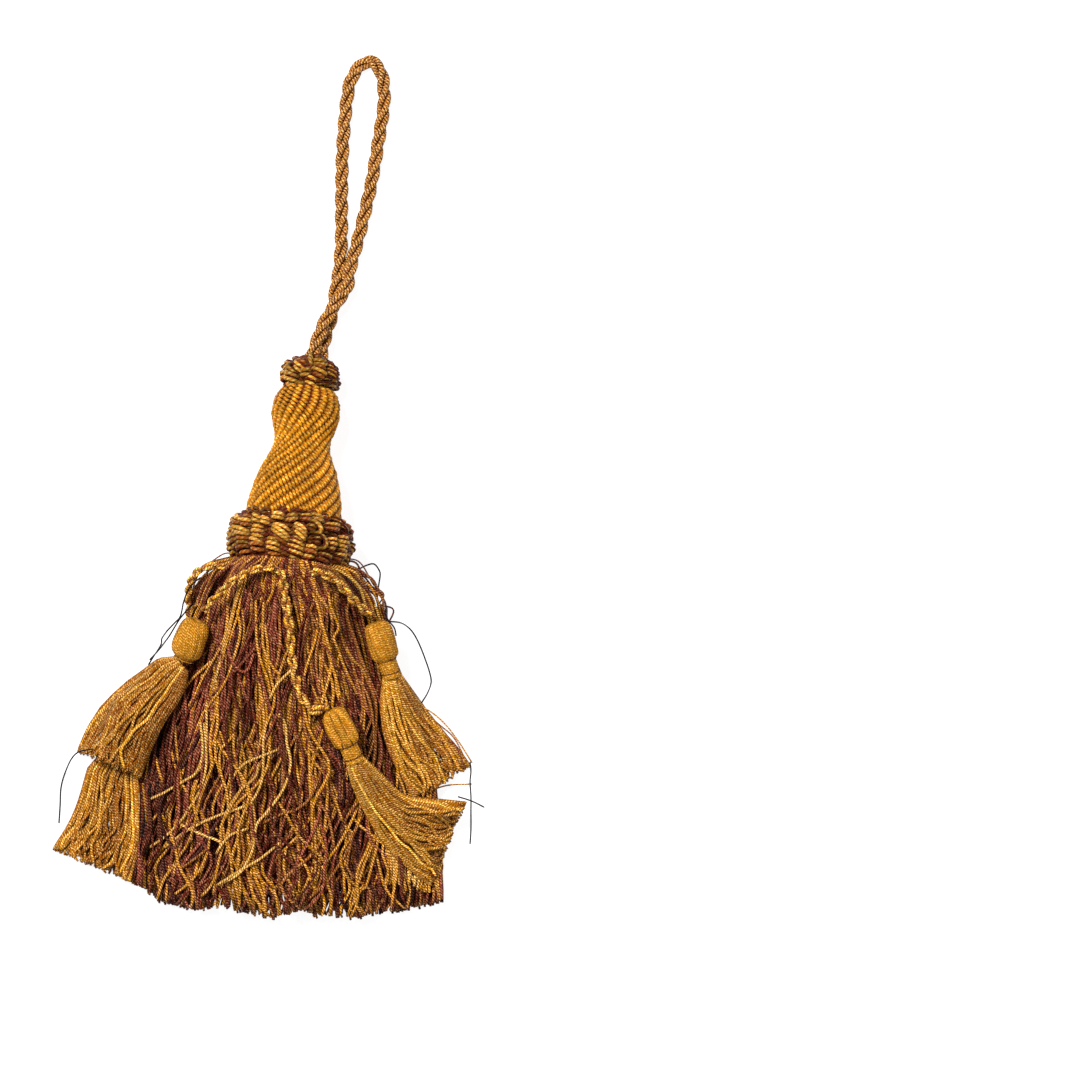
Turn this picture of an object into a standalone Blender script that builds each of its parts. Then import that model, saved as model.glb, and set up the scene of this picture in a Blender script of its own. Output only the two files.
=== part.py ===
"""Curtain tieback tassel, lying on its back.

A twisted cord loop goes into a crown ruff. Under it are the covered head, the collar ruff and a
fan of cut yarn. Four small tassels hang on cords from the collar and lie on the fan.
+X is across the tassel, +Y runs up it towards the loop and +Z is up from the surface it lies on.
The origin is under the middle of the tassel, with its cords left out, at the surface.
"""

import math
from collections import namedtuple

import bmesh
import bpy
import numpy as np
from mathutils import Matrix, Vector

MM = 0.001

# Gaps between neighbouring pieces, and the distance under which spun points are one.
FACE_GAP = 0.3 * MM
LYING_GAP = 0.7 * MM
MERGE_DISTANCE = 0.01 * MM

# Smooth curves are read at this many points between two knots; a ball is tried on this many lines.
CURVE_SAMPLES = 24
BALL_LINES = 25

# Cords.
LOOP_DIAMETER = 4.5 * MM
HANGER_DIAMETER = 2.3 * MM
LOOP_POINT_SPACING = 6.0 * MM
HANGER_POINT_SPACING = 5.5 * MM
LOOP_BEVEL_RESOLUTION = 3
HANGER_BEVEL_RESOLUTION = 2

# The axis of the tassel's body runs through these two centres, in millimetres.
CROWN_CENTRE = Vector((16.0, 91.9, 11.0)) * MM
COLLAR_CENTRE = Vector((9.3, 33.0, 21.9)) * MM
CROWN_HALF_HEIGHT = 6.15 * MM

# Stations are distances down the axis from the crown's top, in millimetres.
Turn = namedtuple("Turn", "station radius")
CROWN_TURNS = (
    Turn(1.2, 6.6),
    Turn(2.4, 9.5),
    Turn(4.8, 10.9),
    Turn(7.6, 11.4),
    Turn(10.4, 10.8),
    Turn(12.3, 8.8),
)
HEAD_TURNS = (
    Turn(12.6, 9.2),
    Turn(14.2, 10.5),
    Turn(17.0, 11.8),
    Turn(21.7, 12.3),
    Turn(25.8, 11.3),
    Turn(29.0, 10.2),
    Turn(32.3, 10.0),
    Turn(35.1, 10.6),
    Turn(41.2, 13.3),
    Turn(47.1, 15.3),
    Turn(52.0, 16.3),
    Turn(56.9, 16.9),
)
COLLAR_TURNS = (
    Turn(57.2, 18.2),
    Turn(58.6, 20.6),
    Turn(62.0, 22.0),
    Turn(64.6, 21.5),
    Turn(67.6, 22.6),
    Turn(70.6, 21.7),
    Turn(73.4, 21.6),
    Turn(75.8, 19.6),
)
HEAD_SEGMENTS = 32
CROWN_LOBES = 8
COLLAR_LOBES = 14
SEGMENTS_PER_LOBE = 4
GOLDEN_ANGLE = 2.399
CROWN_LOBE_DEPTH = 0.07
COLLAR_LOBE_DEPTH = 0.035

# The fan of yarn. Each row is one cross section: where it lies, its two sides, the height of its
# crest, of its two thin edges and of its underside, how far it leans and tilts with the tassel's
# axis, and how far its middle runs ahead of its sides. Millimetres and degrees.
FanRow = namedtuple("FanRow", "y left right crest edge belly tilt lean bow")
FAN_ROWS = (
    FanRow(23.45, -10.3, 26.7, 42.0, 23.6, 5.1, 10.4, 6.5, 0.0),
    FanRow(19.5, -17.0, 32.0, 40.5, 15.0, 1.5, 9.0, 6.0, 0.0),
    FanRow(14.5, -21.5, 36.5, 38.5, 8.5, 0.0, 7.0, 4.5, 0.0),
    FanRow(8.4, -24.8, 39.6, 36.0, 5.0, 0.0, 4.0, 3.0, 0.0),
    FanRow(-5.6, -29.3, 43.8, 31.5, 3.5, 0.0, 1.0, 1.0, 1.0),
    FanRow(-23.2, -35.3, 50.0, 26.5, 3.0, 0.0, 0.0, 0.0, 2.5),
    FanRow(-40.7, -40.5, 55.0, 22.5, 2.8, 0.0, 0.0, 0.0, 4.0),
    FanRow(-58.2, -44.0, 59.5, 19.0, 2.6, 0.0, 0.0, 0.0, 6.0),
    FanRow(-75.8, -46.0, 61.0, 16.0, 2.4, 0.0, 0.0, 0.0, 8.0),
    FanRow(-89.0, -47.0, 61.5, 14.0, 2.2, 0.0, 0.0, 0.0, 9.5),
)
FAN_LOCKS = 20
FAN_RINGS = 15
FAN_GROOVE = 2.2 * MM
FAN_WANDER = 0.9 * MM
FAN_TOOTH = 10.5 * MM
FAN_UNEVENNESS = 0.7 * MM
FAN_INSET = 0.3 * MM
FAN_FLAT_BELOW = 0.1 * MM
WANDER_PER_LOCK = 1.9
WANDER_DOWN_THE_FAN = 5.0
GROOVE_LIMIT = 0.35
ROUND_TOP_POWER = 1.0
SETTLED_TOP_POWER = 2.4
SETTLED_BOTTOM_POWER = 6.0

# A comb's teeth: how much narrower a tip is than its root, and how uneven their lengths are.
TIP_TAPER = 0.72
TOOTH_UNEVENNESS = 0.22

# A small tassel's head, turned about its own axis: stations from its top, in millimetres.
SMALL_HEAD_TURNS = (
    Turn(0.0, 0.0),
    Turn(0.2, 2.0),
    Turn(1.3, 4.3),
    Turn(3.6, 6.0),
    Turn(6.8, 6.5),
    Turn(10.2, 6.0),
    Turn(12.6, 4.6),
    Turn(14.2, 3.1),
    Turn(16.4, 3.5),
    Turn(18.6, 3.1),
    Turn(19.0, 0.0),
)
SMALL_HEAD_SEGMENTS = 16
SMALL_HEAD_RADIUS = 6.5 * MM
SMALL_HEAD_MIDDLE = 6.8 * MM
SMALL_HEAD_LENGTH = 19.0 * MM
SMALL_NECK_RADIUS = 3.1 * MM
SMALL_LOCKS = 7
SMALL_RINGS = 8
SMALL_GROOVE = 0.6 * MM
SMALL_TOOTH = 3.0 * MM
SMALL_SETTLE_LENGTH = 14.0 * MM
SMALL_DRAPE_RADIUS = 1.8 * MM
SMALL_INSET = 0.2 * MM
SMALL_HANG_SHARE = 0.6
SMALL_EDGE_HUNG = 0.5
SMALL_EDGE_SETTLED = 0.3
SMALL_SETTLED_POWER = 4.0

# Room that a laid piece takes on the bed: how far past its side and over its top.
CORD_ROOM = (3.0 * MM, 0.3 * MM)
HEAD_ROOM = (2.5 * MM, 0.8 * MM)
SKIRT_ROOM = (2.0 * MM, 0.5 * MM)
NECK_MOUND_STATION = 0.85
NECK_MOUND_REACH = 0.8
SKIRT_MOUND_SIDE = 0.6

# Each small tassel: where its head starts and its neck ends, seen from above, and the rows of
# its yarn skirt, each a centre, half its width and its thickness. Millimetres.
SkirtRow = namedtuple("SkirtRow", "x y half_width thickness")
SmallTassel = namedtuple("SmallTassel", "name top neck rows")
SMALL_TASSELS = (
    SmallTassel(
        "left_lower",
        (-40.6, -22.6),
        (-48.2, -40.0),
        (
            SkirtRow(-51.8, -51.0, 5.8, 6.0),
            SkirtRow(-56.6, -66.0, 9.8, 6.0),
            SkirtRow(-60.4, -78.0, 13.0, 5.2),
        ),
    ),
    SmallTassel(
        "left",
        (-23.3, 4.9),
        (-28.6, -9.4),
        (
            SkirtRow(-34.6, -16.0, 7.0, 6.0),
            SkirtRow(-42.6, -24.4, 9.8, 5.8),
            SkirtRow(-49.8, -34.0, 11.4, 5.4),
            SkirtRow(-54.0, -43.4, 11.8, 5.0),
        ),
    ),
    SmallTassel(
        "right",
        (38.8, 4.2),
        (44.2, -13.8),
        (
            SkirtRow(46.4, -23.0, 6.6, 6.0),
            SkirtRow(50.8, -34.0, 9.4, 5.8),
            SkirtRow(57.6, -42.4, 11.0, 5.4),
            SkirtRow(64.0, -47.0, 11.6, 5.0),
        ),
    ),
    SmallTassel(
        "middle",
        (23.8, -26.2),
        (31.4, -43.2),
        (
            SkirtRow(36.4, -52.0, 5.6, 6.2),
            SkirtRow(43.2, -61.6, 7.4, 6.4),
            SkirtRow(51.0, -68.4, 9.6, 6.2),
            SkirtRow(60.0, -73.6, 11.6, 5.4),
        ),
    ),
)

# Routes of the cords, in millimetres. The loop starts and ends on the crown, its two legs pass
# over one another above it, and the rest lies flat.
RoutePoint = namedtuple("RoutePoint", "x y z")
LOOP_ROUTE = (
    RoutePoint(14.6, 98.9, 9.8),
    RoutePoint(17.0, 104.6, 9.5),
    RoutePoint(20.6, 110.0, 8.6),
    RoutePoint(24.6, 115.8, 7.3),
    RoutePoint(28.6, 121.5, 5.7),
    RoutePoint(31.0, 128.0, 3.6),
    RoutePoint(34.9, 143.2, 2.4),
    RoutePoint(38.4, 158.6, 2.4),
    RoutePoint(40.9, 174.0, 2.4),
    RoutePoint(42.3, 184.5, 2.4),
    RoutePoint(41.9, 191.5, 2.4),
    RoutePoint(40.2, 197.6, 2.4),
    RoutePoint(36.4, 201.8, 2.4),
    RoutePoint(31.8, 197.6, 2.4),
    RoutePoint(29.0, 190.5, 2.4),
    RoutePoint(27.2, 172.6, 2.4),
    RoutePoint(26.7, 155.1, 2.4),
    RoutePoint(26.6, 138.2, 2.4),
    RoutePoint(25.8, 127.5, 2.4),
    RoutePoint(24.6, 121.0, 2.4),
    RoutePoint(24.0, 115.3, 2.5),
    RoutePoint(23.2, 110.0, 3.6),
    RoutePoint(21.6, 104.6, 5.9),
    RoutePoint(19.6, 98.7, 8.8),
)
HANGER_ROUTES = {
    "left": (
        RoutePoint(3.6, 23.4, 44.0),
        RoutePoint(-2.6, 22.8, 42.6),
        RoutePoint(-9.0, 20.0, 39.0),
        RoutePoint(-14.0, 15.8, 34.5),
        RoutePoint(-18.2, 11.6, 29.6),
        RoutePoint(-21.0, 8.2, 26.4),
    ),
    "left_lower": (
        RoutePoint(-13.0, 23.6, 27.0),
        RoutePoint(-18.8, 24.0, 27.4),
        RoutePoint(-24.0, 21.0, 24.0),
        RoutePoint(-26.4, 15.4, 17.0),
        RoutePoint(-28.4, 9.0, 10.0),
        RoutePoint(-31.8, 1.6, 5.6),
        RoutePoint(-34.6, -5.6, 3.8),
        RoutePoint(-37.2, -13.0, 4.6),
        RoutePoint(-39.4, -19.6, 6.0),
    ),
    "right": (
        RoutePoint(17.4, 22.4, 41.2),
        RoutePoint(24.4, 19.6, 37.6),
        RoutePoint(28.6, 15.4, 34.0),
        RoutePoint(32.6, 10.6, 29.0),
        RoutePoint(36.6, 7.4, 24.0),
    ),
    "middle": (
        RoutePoint(6.4, 22.4, 44.0),
        RoutePoint(7.9, 12.3, 40.0),
        RoutePoint(9.1, 3.2, 37.0),
        RoutePoint(9.9, -7.4, 34.0),
        RoutePoint(11.9, -18.0, 31.0),
        RoutePoint(15.6, -25.0, 29.0),
        RoutePoint(19.6, -26.6, 29.0),
        RoutePoint(22.4, -24.6, 29.4),
    ),
}

# Colours as linear red, green and blue.
GOLD = (0.56, 0.25, 0.02, 1.0)
TWO_COLOUR = (0.30, 0.11, 0.02, 1.0)
MIXED_YARN = (0.26, 0.08, 0.02, 1.0)
YARN_ROUGHNESS = 0.55


def clear_scene():
    """Takes away everything that a new file starts with."""
    for thing in list(bpy.data.objects):
        bpy.data.objects.remove(thing, do_unlink=True)


def yarn_material(name, colour):
    """A plain matt yarn material of the given colour."""
    material = bpy.data.materials.new(name)
    material.use_nodes = True
    shader = material.node_tree.nodes["Principled BSDF"]
    shader.inputs["Base Color"].default_value = colour
    shader.inputs["Roughness"].default_value = YARN_ROUGHNESS
    shader.inputs["Metallic"].default_value = 0.0
    return material


def finish_mesh(bm, name, colour):
    """Turns the faces outwards and makes the mesh a smooth-shaded object of its own."""
    bmesh.ops.recalc_face_normals(bm, faces=bm.faces)
    if bm.calc_volume(signed=True) < 0.0:
        bmesh.ops.reverse_faces(bm, faces=bm.faces)
    mesh = bpy.data.meshes.new(name)
    bm.to_mesh(mesh)
    bm.free()
    mesh.shade_smooth()
    mesh.materials.append(yarn_material(name, colour))
    piece = bpy.data.objects.new(name, mesh)
    bpy.context.scene.collection.objects.link(piece)
    return piece


def body_frame():
    """The body's own frame: its Z runs down the tassel's axis from the middle of the crown's top."""
    down = (COLLAR_CENTRE - CROWN_CENTRE).normalized()
    across = down.cross(Vector((0.0, 0.0, 1.0))).normalized()
    upward = across.cross(down)
    frame = Matrix((across, upward, down)).transposed().to_4x4()
    frame.translation = CROWN_CENTRE - down * CROWN_HALF_HEIGHT
    return frame


def pull_ring(bm, ring, places):
    """Extrudes a closed ring of vertices and puts the new ring at the given places."""
    edges = [bm.edges.get((ring[i - 1], ring[i])) for i in range(len(ring))]
    made = bmesh.ops.extrude_edge_only(bm, edges=edges)["geom"]
    fresh = {item for item in made if isinstance(item, bmesh.types.BMVert)}
    following = []
    for vert in ring:
        following.append(next(e.other_vert(vert) for e in vert.link_edges if e.other_vert(vert) in fresh))
    for vert, place in zip(following, places):
        vert.co = place
    return following


def first_ring(bm, places):
    """A closed ring of vertices and edges through the given places."""
    ring = [bm.verts.new(place) for place in places]
    for i in range(len(ring)):
        bm.edges.new((ring[i - 1], ring[i]))
    return ring


def turned_piece(name, turns, segments, frame, colour):
    """Spins a profile a full turn about the frame's Z axis; its ends are closed flat."""
    bm = bmesh.new()
    profile = [bm.verts.new((turn.radius * MM, 0.0, turn.station * MM)) for turn in turns]
    edges = [bm.edges.new(pair) for pair in zip(profile, profile[1:])]
    bmesh.ops.spin(
        bm,
        geom=profile + edges,
        axis=(0.0, 0.0, 1.0),
        cent=(0.0, 0.0, 0.0),
        angle=2.0 * math.pi,
        steps=segments,
        use_merge=True,
    )
    bmesh.ops.remove_doubles(bm, verts=bm.verts, dist=MERGE_DISTANCE)
    open_edges = [edge for edge in bm.edges if edge.is_boundary]
    bmesh.ops.holes_fill(bm, edges=open_edges, sides=0)
    bmesh.ops.transform(bm, matrix=frame, verts=bm.verts)
    return finish_mesh(bm, name, colour)


def wound_ring(name, turns, lobes, depth, frame, colour):
    """A ruff of wound cord: rings of lobes, each row set half a lobe on, flat where it lies."""
    bm = bmesh.new()
    segments = lobes * SEGMENTS_PER_LOBE
    ring = None
    for row, turn in enumerate(turns):
        places = []
        for step in range(segments):
            angle = 2.0 * math.pi * step / segments
            lobe = math.cos(lobes * angle + math.pi * (row // 2))
            radius = turn.radius * MM * (1.0 + depth * lobe)
            local = Vector((radius * math.cos(angle), radius * math.sin(angle), turn.station * MM))
            place = frame @ local
            place.z = max(place.z, 0.0)
            places.append(place)
        ring = first_ring(bm, places) if ring is None else pull_ring(bm, ring, places)
    open_edges = [edge for edge in bm.edges if edge.is_boundary]
    bmesh.ops.holes_fill(bm, edges=open_edges, sides=0)
    return finish_mesh(bm, name, colour)


def fan_values(y):
    """The fan's cross section at y, as FanRow fields in metres and degrees."""
    table = np.array(FAN_ROWS[::-1])
    values = [np.interp(y / MM, table[:, 0], table[:, column]) for column in range(table.shape[1])]
    metres = [value * MM for value in values]
    return FanRow(*metres[:6], values[6], values[7], metres[8])


def fan_powers(row):
    """How the section is rounded: a circle at the root, a low flat-bottomed heap once it has settled."""
    first = FAN_ROWS[0].edge * MM
    last = FAN_ROWS[-1].edge * MM
    settled = (first - row.edge) / (first - last)
    top = ROUND_TOP_POWER + (SETTLED_TOP_POWER - ROUND_TOP_POWER) * settled
    bottom = 1.0 + (SETTLED_BOTTOM_POWER - 1.0) * settled
    return top, bottom, settled


def fan_top(x, y):
    """Height of the fan's top over the surface at points x, y, and 0 beside it."""
    rough = fan_values(y)
    side = (x - (rough.left + rough.right) / 2.0) / ((rough.right - rough.left) / 2.0)
    row = fan_values(y - rough.bow * np.clip(side * side, 0.0, 1.0))
    side = (x - (row.left + row.right) / 2.0) / ((row.right - row.left) / 2.0)
    power = fan_powers(row)[0]
    inside = np.clip(1.0 - side * side, 0.0, 1.0)
    height = row.edge + (row.crest - row.edge) * inside ** (power / 2.0) + FAN_UNEVENNESS
    length_end = (FAN_ROWS[-1].y * MM) - FAN_TOOTH
    return np.where((np.abs(side) < 1.0) & (y > length_end), height, 0.0)


class Bed:
    """What a small tassel or a cord can lie on: the surface, the fan and the pieces laid down before."""

    def __init__(self):
        self.mounds = []

    def add_mound(self, x, y, reach, middle, top):
        """Adds a rounded heap about x, y, whose side is at height middle and whose crown is at top."""
        self.mounds.append((x, y, reach, middle, top))

    def height(self, x, y):
        found = fan_top(x, y)
        for centre_x, centre_y, reach, middle, top in self.mounds:
            share = np.hypot(x - centre_x, y - centre_y) / reach
            bulge = middle + (top - middle) * np.sqrt(np.clip(1.0 - share * share, 0.0, 1.0))
            found = np.maximum(found, np.where(share < 1.0, bulge, 0.0))
        return found

    def rest_height(self, x, y, radius):
        """Height of the centre of the lowest ball of that radius over x, y that clears the bed."""
        steps = np.linspace(-1.0, 1.0, BALL_LINES) * (radius + LYING_GAP)
        across, along = np.meshgrid(steps, steps)
        reach = radius + LYING_GAP
        room = reach * reach - across * across - along * along
        covered = room >= 0.0
        ball = np.sqrt(np.where(covered, room, 0.0))
        needed = np.where(covered, self.height(x + across, y + along) + ball, 0.0)
        return float(needed.max())


def unevenness(index, spread):
    """A fixed wobble from -spread to spread that differs from lock to lock."""
    return spread * math.sin(GOLDEN_ANGLE * index + 0.7) * math.cos(1.13 * index)


def fan_ring(row, along):
    """One cross section of the fan: its top from left to right, then its underside back again."""
    centre = (row.left + row.right) / 2.0
    half = (row.right - row.left) / 2.0
    top_power, bottom_power, settled = fan_powers(row)
    tilt = math.radians(row.tilt)
    lean = math.radians(row.lean)

    def place(share, height, wander):
        side = math.sin(share * math.pi / 2.0)
        offset = half * side + wander
        y = row.y + row.bow * side * side - offset * math.sin(lean) + (height - row.edge) * math.sin(tilt)
        return Vector((centre + offset * math.cos(lean), y, height))

    top = []
    under = []
    for step in range(2 * FAN_LOCKS + 1):
        share = step / FAN_LOCKS - 1.0
        round_off = max(0.0, math.cos(share * math.pi / 2.0))
        lock = step // 2
        inner = 0 < step < 2 * FAN_LOCKS
        swing = math.sin(WANDER_PER_LOCK * lock + WANDER_DOWN_THE_FAN * along)
        sway = swing * FAN_WANDER * settled * round_off if inner else 0.0
        height = row.edge + (row.crest - row.edge) * round_off**top_power
        is_groove = step % 2 == 0
        if inner and is_groove:
            height -= min(FAN_GROOVE * settled, GROOVE_LIMIT * (height - row.belly))
        if not is_groove:
            height += unevenness(lock, FAN_UNEVENNESS) * settled * round_off
        top.append(place(share, height, sway))
        if inner and is_groove:
            low = row.belly + (row.edge - row.belly) * (1.0 - round_off) ** bottom_power
            low = 0.0 if low < FAN_FLAT_BELOW else low
            under.append(place(share, low, sway))
    return top + under[::-1]


def lock_faces(bm, ring, locks):
    """Closes a ring with one face for each lock of yarn."""
    top = ring[: 2 * locks + 1]
    under = [top[0]] + ring[2 * locks + 1 :][::-1] + [top[-1]]
    faces = []
    for lock in range(locks):
        corners = list(top[2 * lock : 2 * lock + 3])
        for vert in (under[lock + 1], under[lock]):
            if vert not in corners:
                corners.append(vert)
        faces.append(bm.faces.new(corners))
    return faces


def comb(bm, faces, lengths, directions, inset):
    """Draws each lock out as a tooth, narrower at its tip and clear of its neighbours."""
    bmesh.ops.recalc_face_normals(bm, faces=bm.faces)
    bmesh.ops.inset_individual(bm, faces=faces, thickness=inset)
    tips = bmesh.ops.extrude_discrete_faces(bm, faces=faces)["faces"]
    for tip, length, direction in zip(tips, lengths, directions):
        centre = tip.calc_center_median()
        for vert in tip.verts:
            vert.co = centre + (vert.co - centre) * TIP_TAPER + direction * length


def draw_out(name, rings, locks, tooth, inset, colour):
    """Lofts yarn through its cross sections and ends it in a comb of uneven teeth."""
    bm = bmesh.new()
    ring = first_ring(bm, rings[0])
    bm.faces.new(ring)
    for places in rings[1:]:
        ring = pull_ring(bm, ring, places)
    ends = lock_faces(bm, ring, locks)
    lengths = []
    directions = []
    for lock in range(locks):
        step = 2 * lock + 1
        run = rings[-1][step] - rings[-2][step]
        run.z = 0.0
        directions.append(run.normalized())
        lengths.append(tooth * (1.0 - TOOTH_UNEVENNESS * (1.0 + unevenness(lock, 1.0))))
    comb(bm, ends, lengths, directions, inset)
    return finish_mesh(bm, name, colour)


def make_fan():
    """The skirt: a heap of yarn that widens and settles from the collar down, as one comb."""
    middles = np.array([row.y for row in FAN_ROWS]) * MM
    stations = np.linspace(0.0, len(FAN_ROWS) - 1.0, FAN_RINGS)
    rings = []
    for station in stations:
        y = float(np.interp(station, range(len(FAN_ROWS)), middles))
        rings.append(fan_ring(fan_values(y), station / len(FAN_ROWS)))
    return draw_out("skirt", rings, FAN_LOCKS, FAN_TOOTH, FAN_INSET, MIXED_YARN)


def through(points, spacing):
    """Points at an even spacing along the smooth curve through the given ones (Catmull-Rom)."""
    knots = np.array(points)
    padded = np.vstack([2.0 * knots[0] - knots[1], knots, 2.0 * knots[-1] - knots[-2]])
    fine = []
    for i in range(len(knots) - 1):
        p0, p1, p2, p3 = padded[i : i + 4]
        for t in np.linspace(0.0, 1.0, CURVE_SAMPLES, endpoint=False):
            bend = 2.0 * p0 - 5.0 * p1 + 4.0 * p2 - p3
            twist = 3.0 * p1 - p0 - 3.0 * p2 + p3
            fine.append(0.5 * (2.0 * p1 + (p2 - p0) * t + bend * t**2 + twist * t**3))
    fine.append(knots[-1])
    fine = np.array(fine)
    lengths = np.concatenate([[0.0], np.cumsum(np.linalg.norm(np.diff(fine, axis=0), axis=1))])
    count = max(3, round(lengths[-1] / spacing) + 1)
    at = np.linspace(0.0, lengths[-1], count)
    return np.column_stack([np.interp(at, lengths, fine[:, axis]) for axis in range(knots.shape[1])])


def tube(name, points, diameter, resolution, colour):
    """A round cord through the given points, closed at both ends."""
    curve = bpy.data.curves.new(name, "CURVE")
    curve.dimensions = "3D"
    curve.bevel_depth = diameter / 2.0
    curve.bevel_resolution = resolution
    curve.use_fill_caps = True
    spline = curve.splines.new("POLY")
    spline.points.add(len(points) - 1)
    for point, place in zip(spline.points, points):
        point.co = (*place, 1.0)
    curve.materials.append(yarn_material(name, colour))
    piece = bpy.data.objects.new(name, curve)
    bpy.context.scene.collection.objects.link(piece)
    return piece


def make_loop():
    """The loop's cord, from the crown round and back to it."""
    route = np.array(LOOP_ROUTE) * MM
    points = through(route, LOOP_POINT_SPACING)
    return tube("loop_cord", points, LOOP_DIAMETER, LOOP_BEVEL_RESOLUTION, TWO_COLOUR)


def make_hanger(name, bed):
    """A small tassel's cord: no lower than its route says, and lying on what is under it."""
    points = through(np.array(HANGER_ROUTES[name]) * MM, HANGER_POINT_SPACING)
    for point in points:
        point[2] = max(point[2], bed.rest_height(point[0], point[1], HANGER_DIAMETER / 2.0))
    tube("hanger_cord_" + name, points, HANGER_DIAMETER, HANGER_BEVEL_RESOLUTION, TWO_COLOUR)
    return points


def small_head_frame(tassel, bed):
    """The head's frame: its Z runs from the head's top to its neck, dipping by what its plan length lacks."""
    top = Vector(tassel.top) * MM
    run = Vector(tassel.neck) * MM - top
    plan = min(run.length, SMALL_HEAD_LENGTH)
    drop = math.sqrt(SMALL_HEAD_LENGTH**2 - plan**2)
    heading = run.normalized()
    down = Vector((heading.x * plan, heading.y * plan, -drop)).normalized()
    middle = top + heading * plan * SMALL_HEAD_MIDDLE / SMALL_HEAD_LENGTH
    height = bed.rest_height(middle.x, middle.y, SMALL_HEAD_RADIUS)
    across = down.cross(Vector((0.0, 0.0, 1.0))).normalized()
    upward = across.cross(down)
    frame = Matrix((across, upward, down)).transposed().to_4x4()
    frame.translation = Vector((middle.x, middle.y, height)) - down * SMALL_HEAD_MIDDLE
    return frame


def small_skirt_rings(tassel, frame, bed):
    """Cross sections of a small tassel's yarn, from its neck down on to what it lies on."""
    neck = frame @ Vector((0.0, 0.0, SMALL_HEAD_LENGTH))
    down = frame.col[2].xyz
    pitch = -down.z
    heading = Vector((down.x, down.y)).normalized()
    start = Vector((neck.x, neck.y)) + heading * (SMALL_NECK_RADIUS * pitch + FACE_GAP * 2.0)
    radius = SMALL_NECK_RADIUS / MM
    first = (start.x / MM, start.y / MM, radius, 2.0 * radius)
    rows = through([first] + [tuple(row) for row in tassel.rows], 1.0)
    rows = rows[np.linspace(0, len(rows) - 1, SMALL_RINGS).round().astype(int)] * MM
    rings = []
    run = 0.0
    for index, (x, y, half, thick) in enumerate(rows):
        after = rows[min(index + 1, len(rows) - 1)]
        before = rows[max(index - 1, 0)]
        heading = Vector((after[0] - before[0], after[1] - before[1])).normalized()
        side = Vector((-heading.y, heading.x))
        if index:
            run += math.hypot(x - rows[index - 1][0], y - rows[index - 1][1])
        settled = min(1.0, run / SMALL_SETTLE_LENGTH)
        hung = neck.z - SMALL_NECK_RADIUS - pitch * run * SMALL_HANG_SHARE
        top = []
        under = []
        for step in range(2 * SMALL_LOCKS + 1):
            share = step / SMALL_LOCKS - 1.0
            round_off = max(0.0, math.cos(share * math.pi / 2.0))
            offset = half * math.sin(share * math.pi / 2.0)
            px = x + side.x * offset
            py = y + side.y * offset
            lying = bed.rest_height(px, py, SMALL_DRAPE_RADIUS) - SMALL_DRAPE_RADIUS
            base = max(lying, hung * (1.0 - settled) + lying * settled)
            edge = thick * (SMALL_EDGE_HUNG + (SMALL_EDGE_SETTLED - SMALL_EDGE_HUNG) * settled)
            height = base + edge + (thick - edge) * round_off
            is_groove = step % 2 == 0
            inner = 0 < step < 2 * SMALL_LOCKS
            if is_groove and inner:
                height -= SMALL_GROOVE * settled
                power = 1.0 + (SMALL_SETTLED_POWER - 1.0) * settled
                low = base + edge * (1.0 - round_off) ** power
                under.append(Vector((px, py, low)))
            top.append(Vector((px, py, height)))
        rings.append(top + under[::-1])
    return rings


def add_small_mounds(bed, frame, rings, cord):
    """Lets later pieces lie over this small tassel and its cord."""
    aside, above = CORD_ROOM
    for x, y, z in cord:
        bed.add_mound(x, y, HANGER_DIAMETER / 2.0 + aside, z, z + HANGER_DIAMETER / 2.0 + above)
    aside, above = HEAD_ROOM
    head = frame @ Vector((0.0, 0.0, SMALL_HEAD_MIDDLE))
    reach = SMALL_HEAD_RADIUS + aside
    bed.add_mound(head.x, head.y, reach, head.z, head.z + SMALL_HEAD_RADIUS + above)
    neck = frame @ Vector((0.0, 0.0, SMALL_HEAD_LENGTH * NECK_MOUND_STATION))
    reach *= NECK_MOUND_REACH
    bed.add_mound(neck.x, neck.y, reach, neck.z, neck.z + SMALL_NECK_RADIUS + above)
    aside, above = SKIRT_ROOM
    for ring in rings:
        top = ring[: 2 * SMALL_LOCKS + 1]
        middle = top[SMALL_LOCKS]
        half = (top[0] - top[-1]).length / 2.0 + aside
        crest = max(place.z for place in top) + above
        bed.add_mound(middle.x, middle.y, half, crest * SKIRT_MOUND_SIDE, crest)


def make_small_tassel(tassel, bed):
    """One small tassel's head and yarn, laid on the bed."""
    frame = small_head_frame(tassel, bed)
    rings = small_skirt_rings(tassel, frame, bed)
    turned_piece("small_head_" + tassel.name, SMALL_HEAD_TURNS, SMALL_HEAD_SEGMENTS, frame, GOLD)
    draw_out("small_skirt_" + tassel.name, rings, SMALL_LOCKS, SMALL_TOOTH, SMALL_INSET, GOLD)
    return frame, rings


def main():
    clear_scene()
    frame = body_frame()
    make_loop()
    wound_ring("crown_ruff", CROWN_TURNS, CROWN_LOBES, CROWN_LOBE_DEPTH, frame, TWO_COLOUR)
    turned_piece("head", HEAD_TURNS, HEAD_SEGMENTS, frame, GOLD)
    wound_ring("collar_ruff", COLLAR_TURNS, COLLAR_LOBES, COLLAR_LOBE_DEPTH, frame, TWO_COLOUR)
    make_fan()
    bed = Bed()
    for tassel in SMALL_TASSELS:
        head_frame, rings = make_small_tassel(tassel, bed)
        cord = make_hanger(tassel.name, bed)
        add_small_mounds(bed, head_frame, rings, cord)


main()
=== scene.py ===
"""Curtain tieback tassel lying on its back: a corded loop, a thread-wound head between two corded
ruffs, a heap of cut two-ply yarn, and four small gold tassels on cords.

Everything is in metres, in the part's own frame: +X across the tassel, +Y up it towards the loop
and +Z up from the surface it lies on. Tables and fields of sizes are in millimetres and degrees.
"""

from __future__ import annotations

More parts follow.
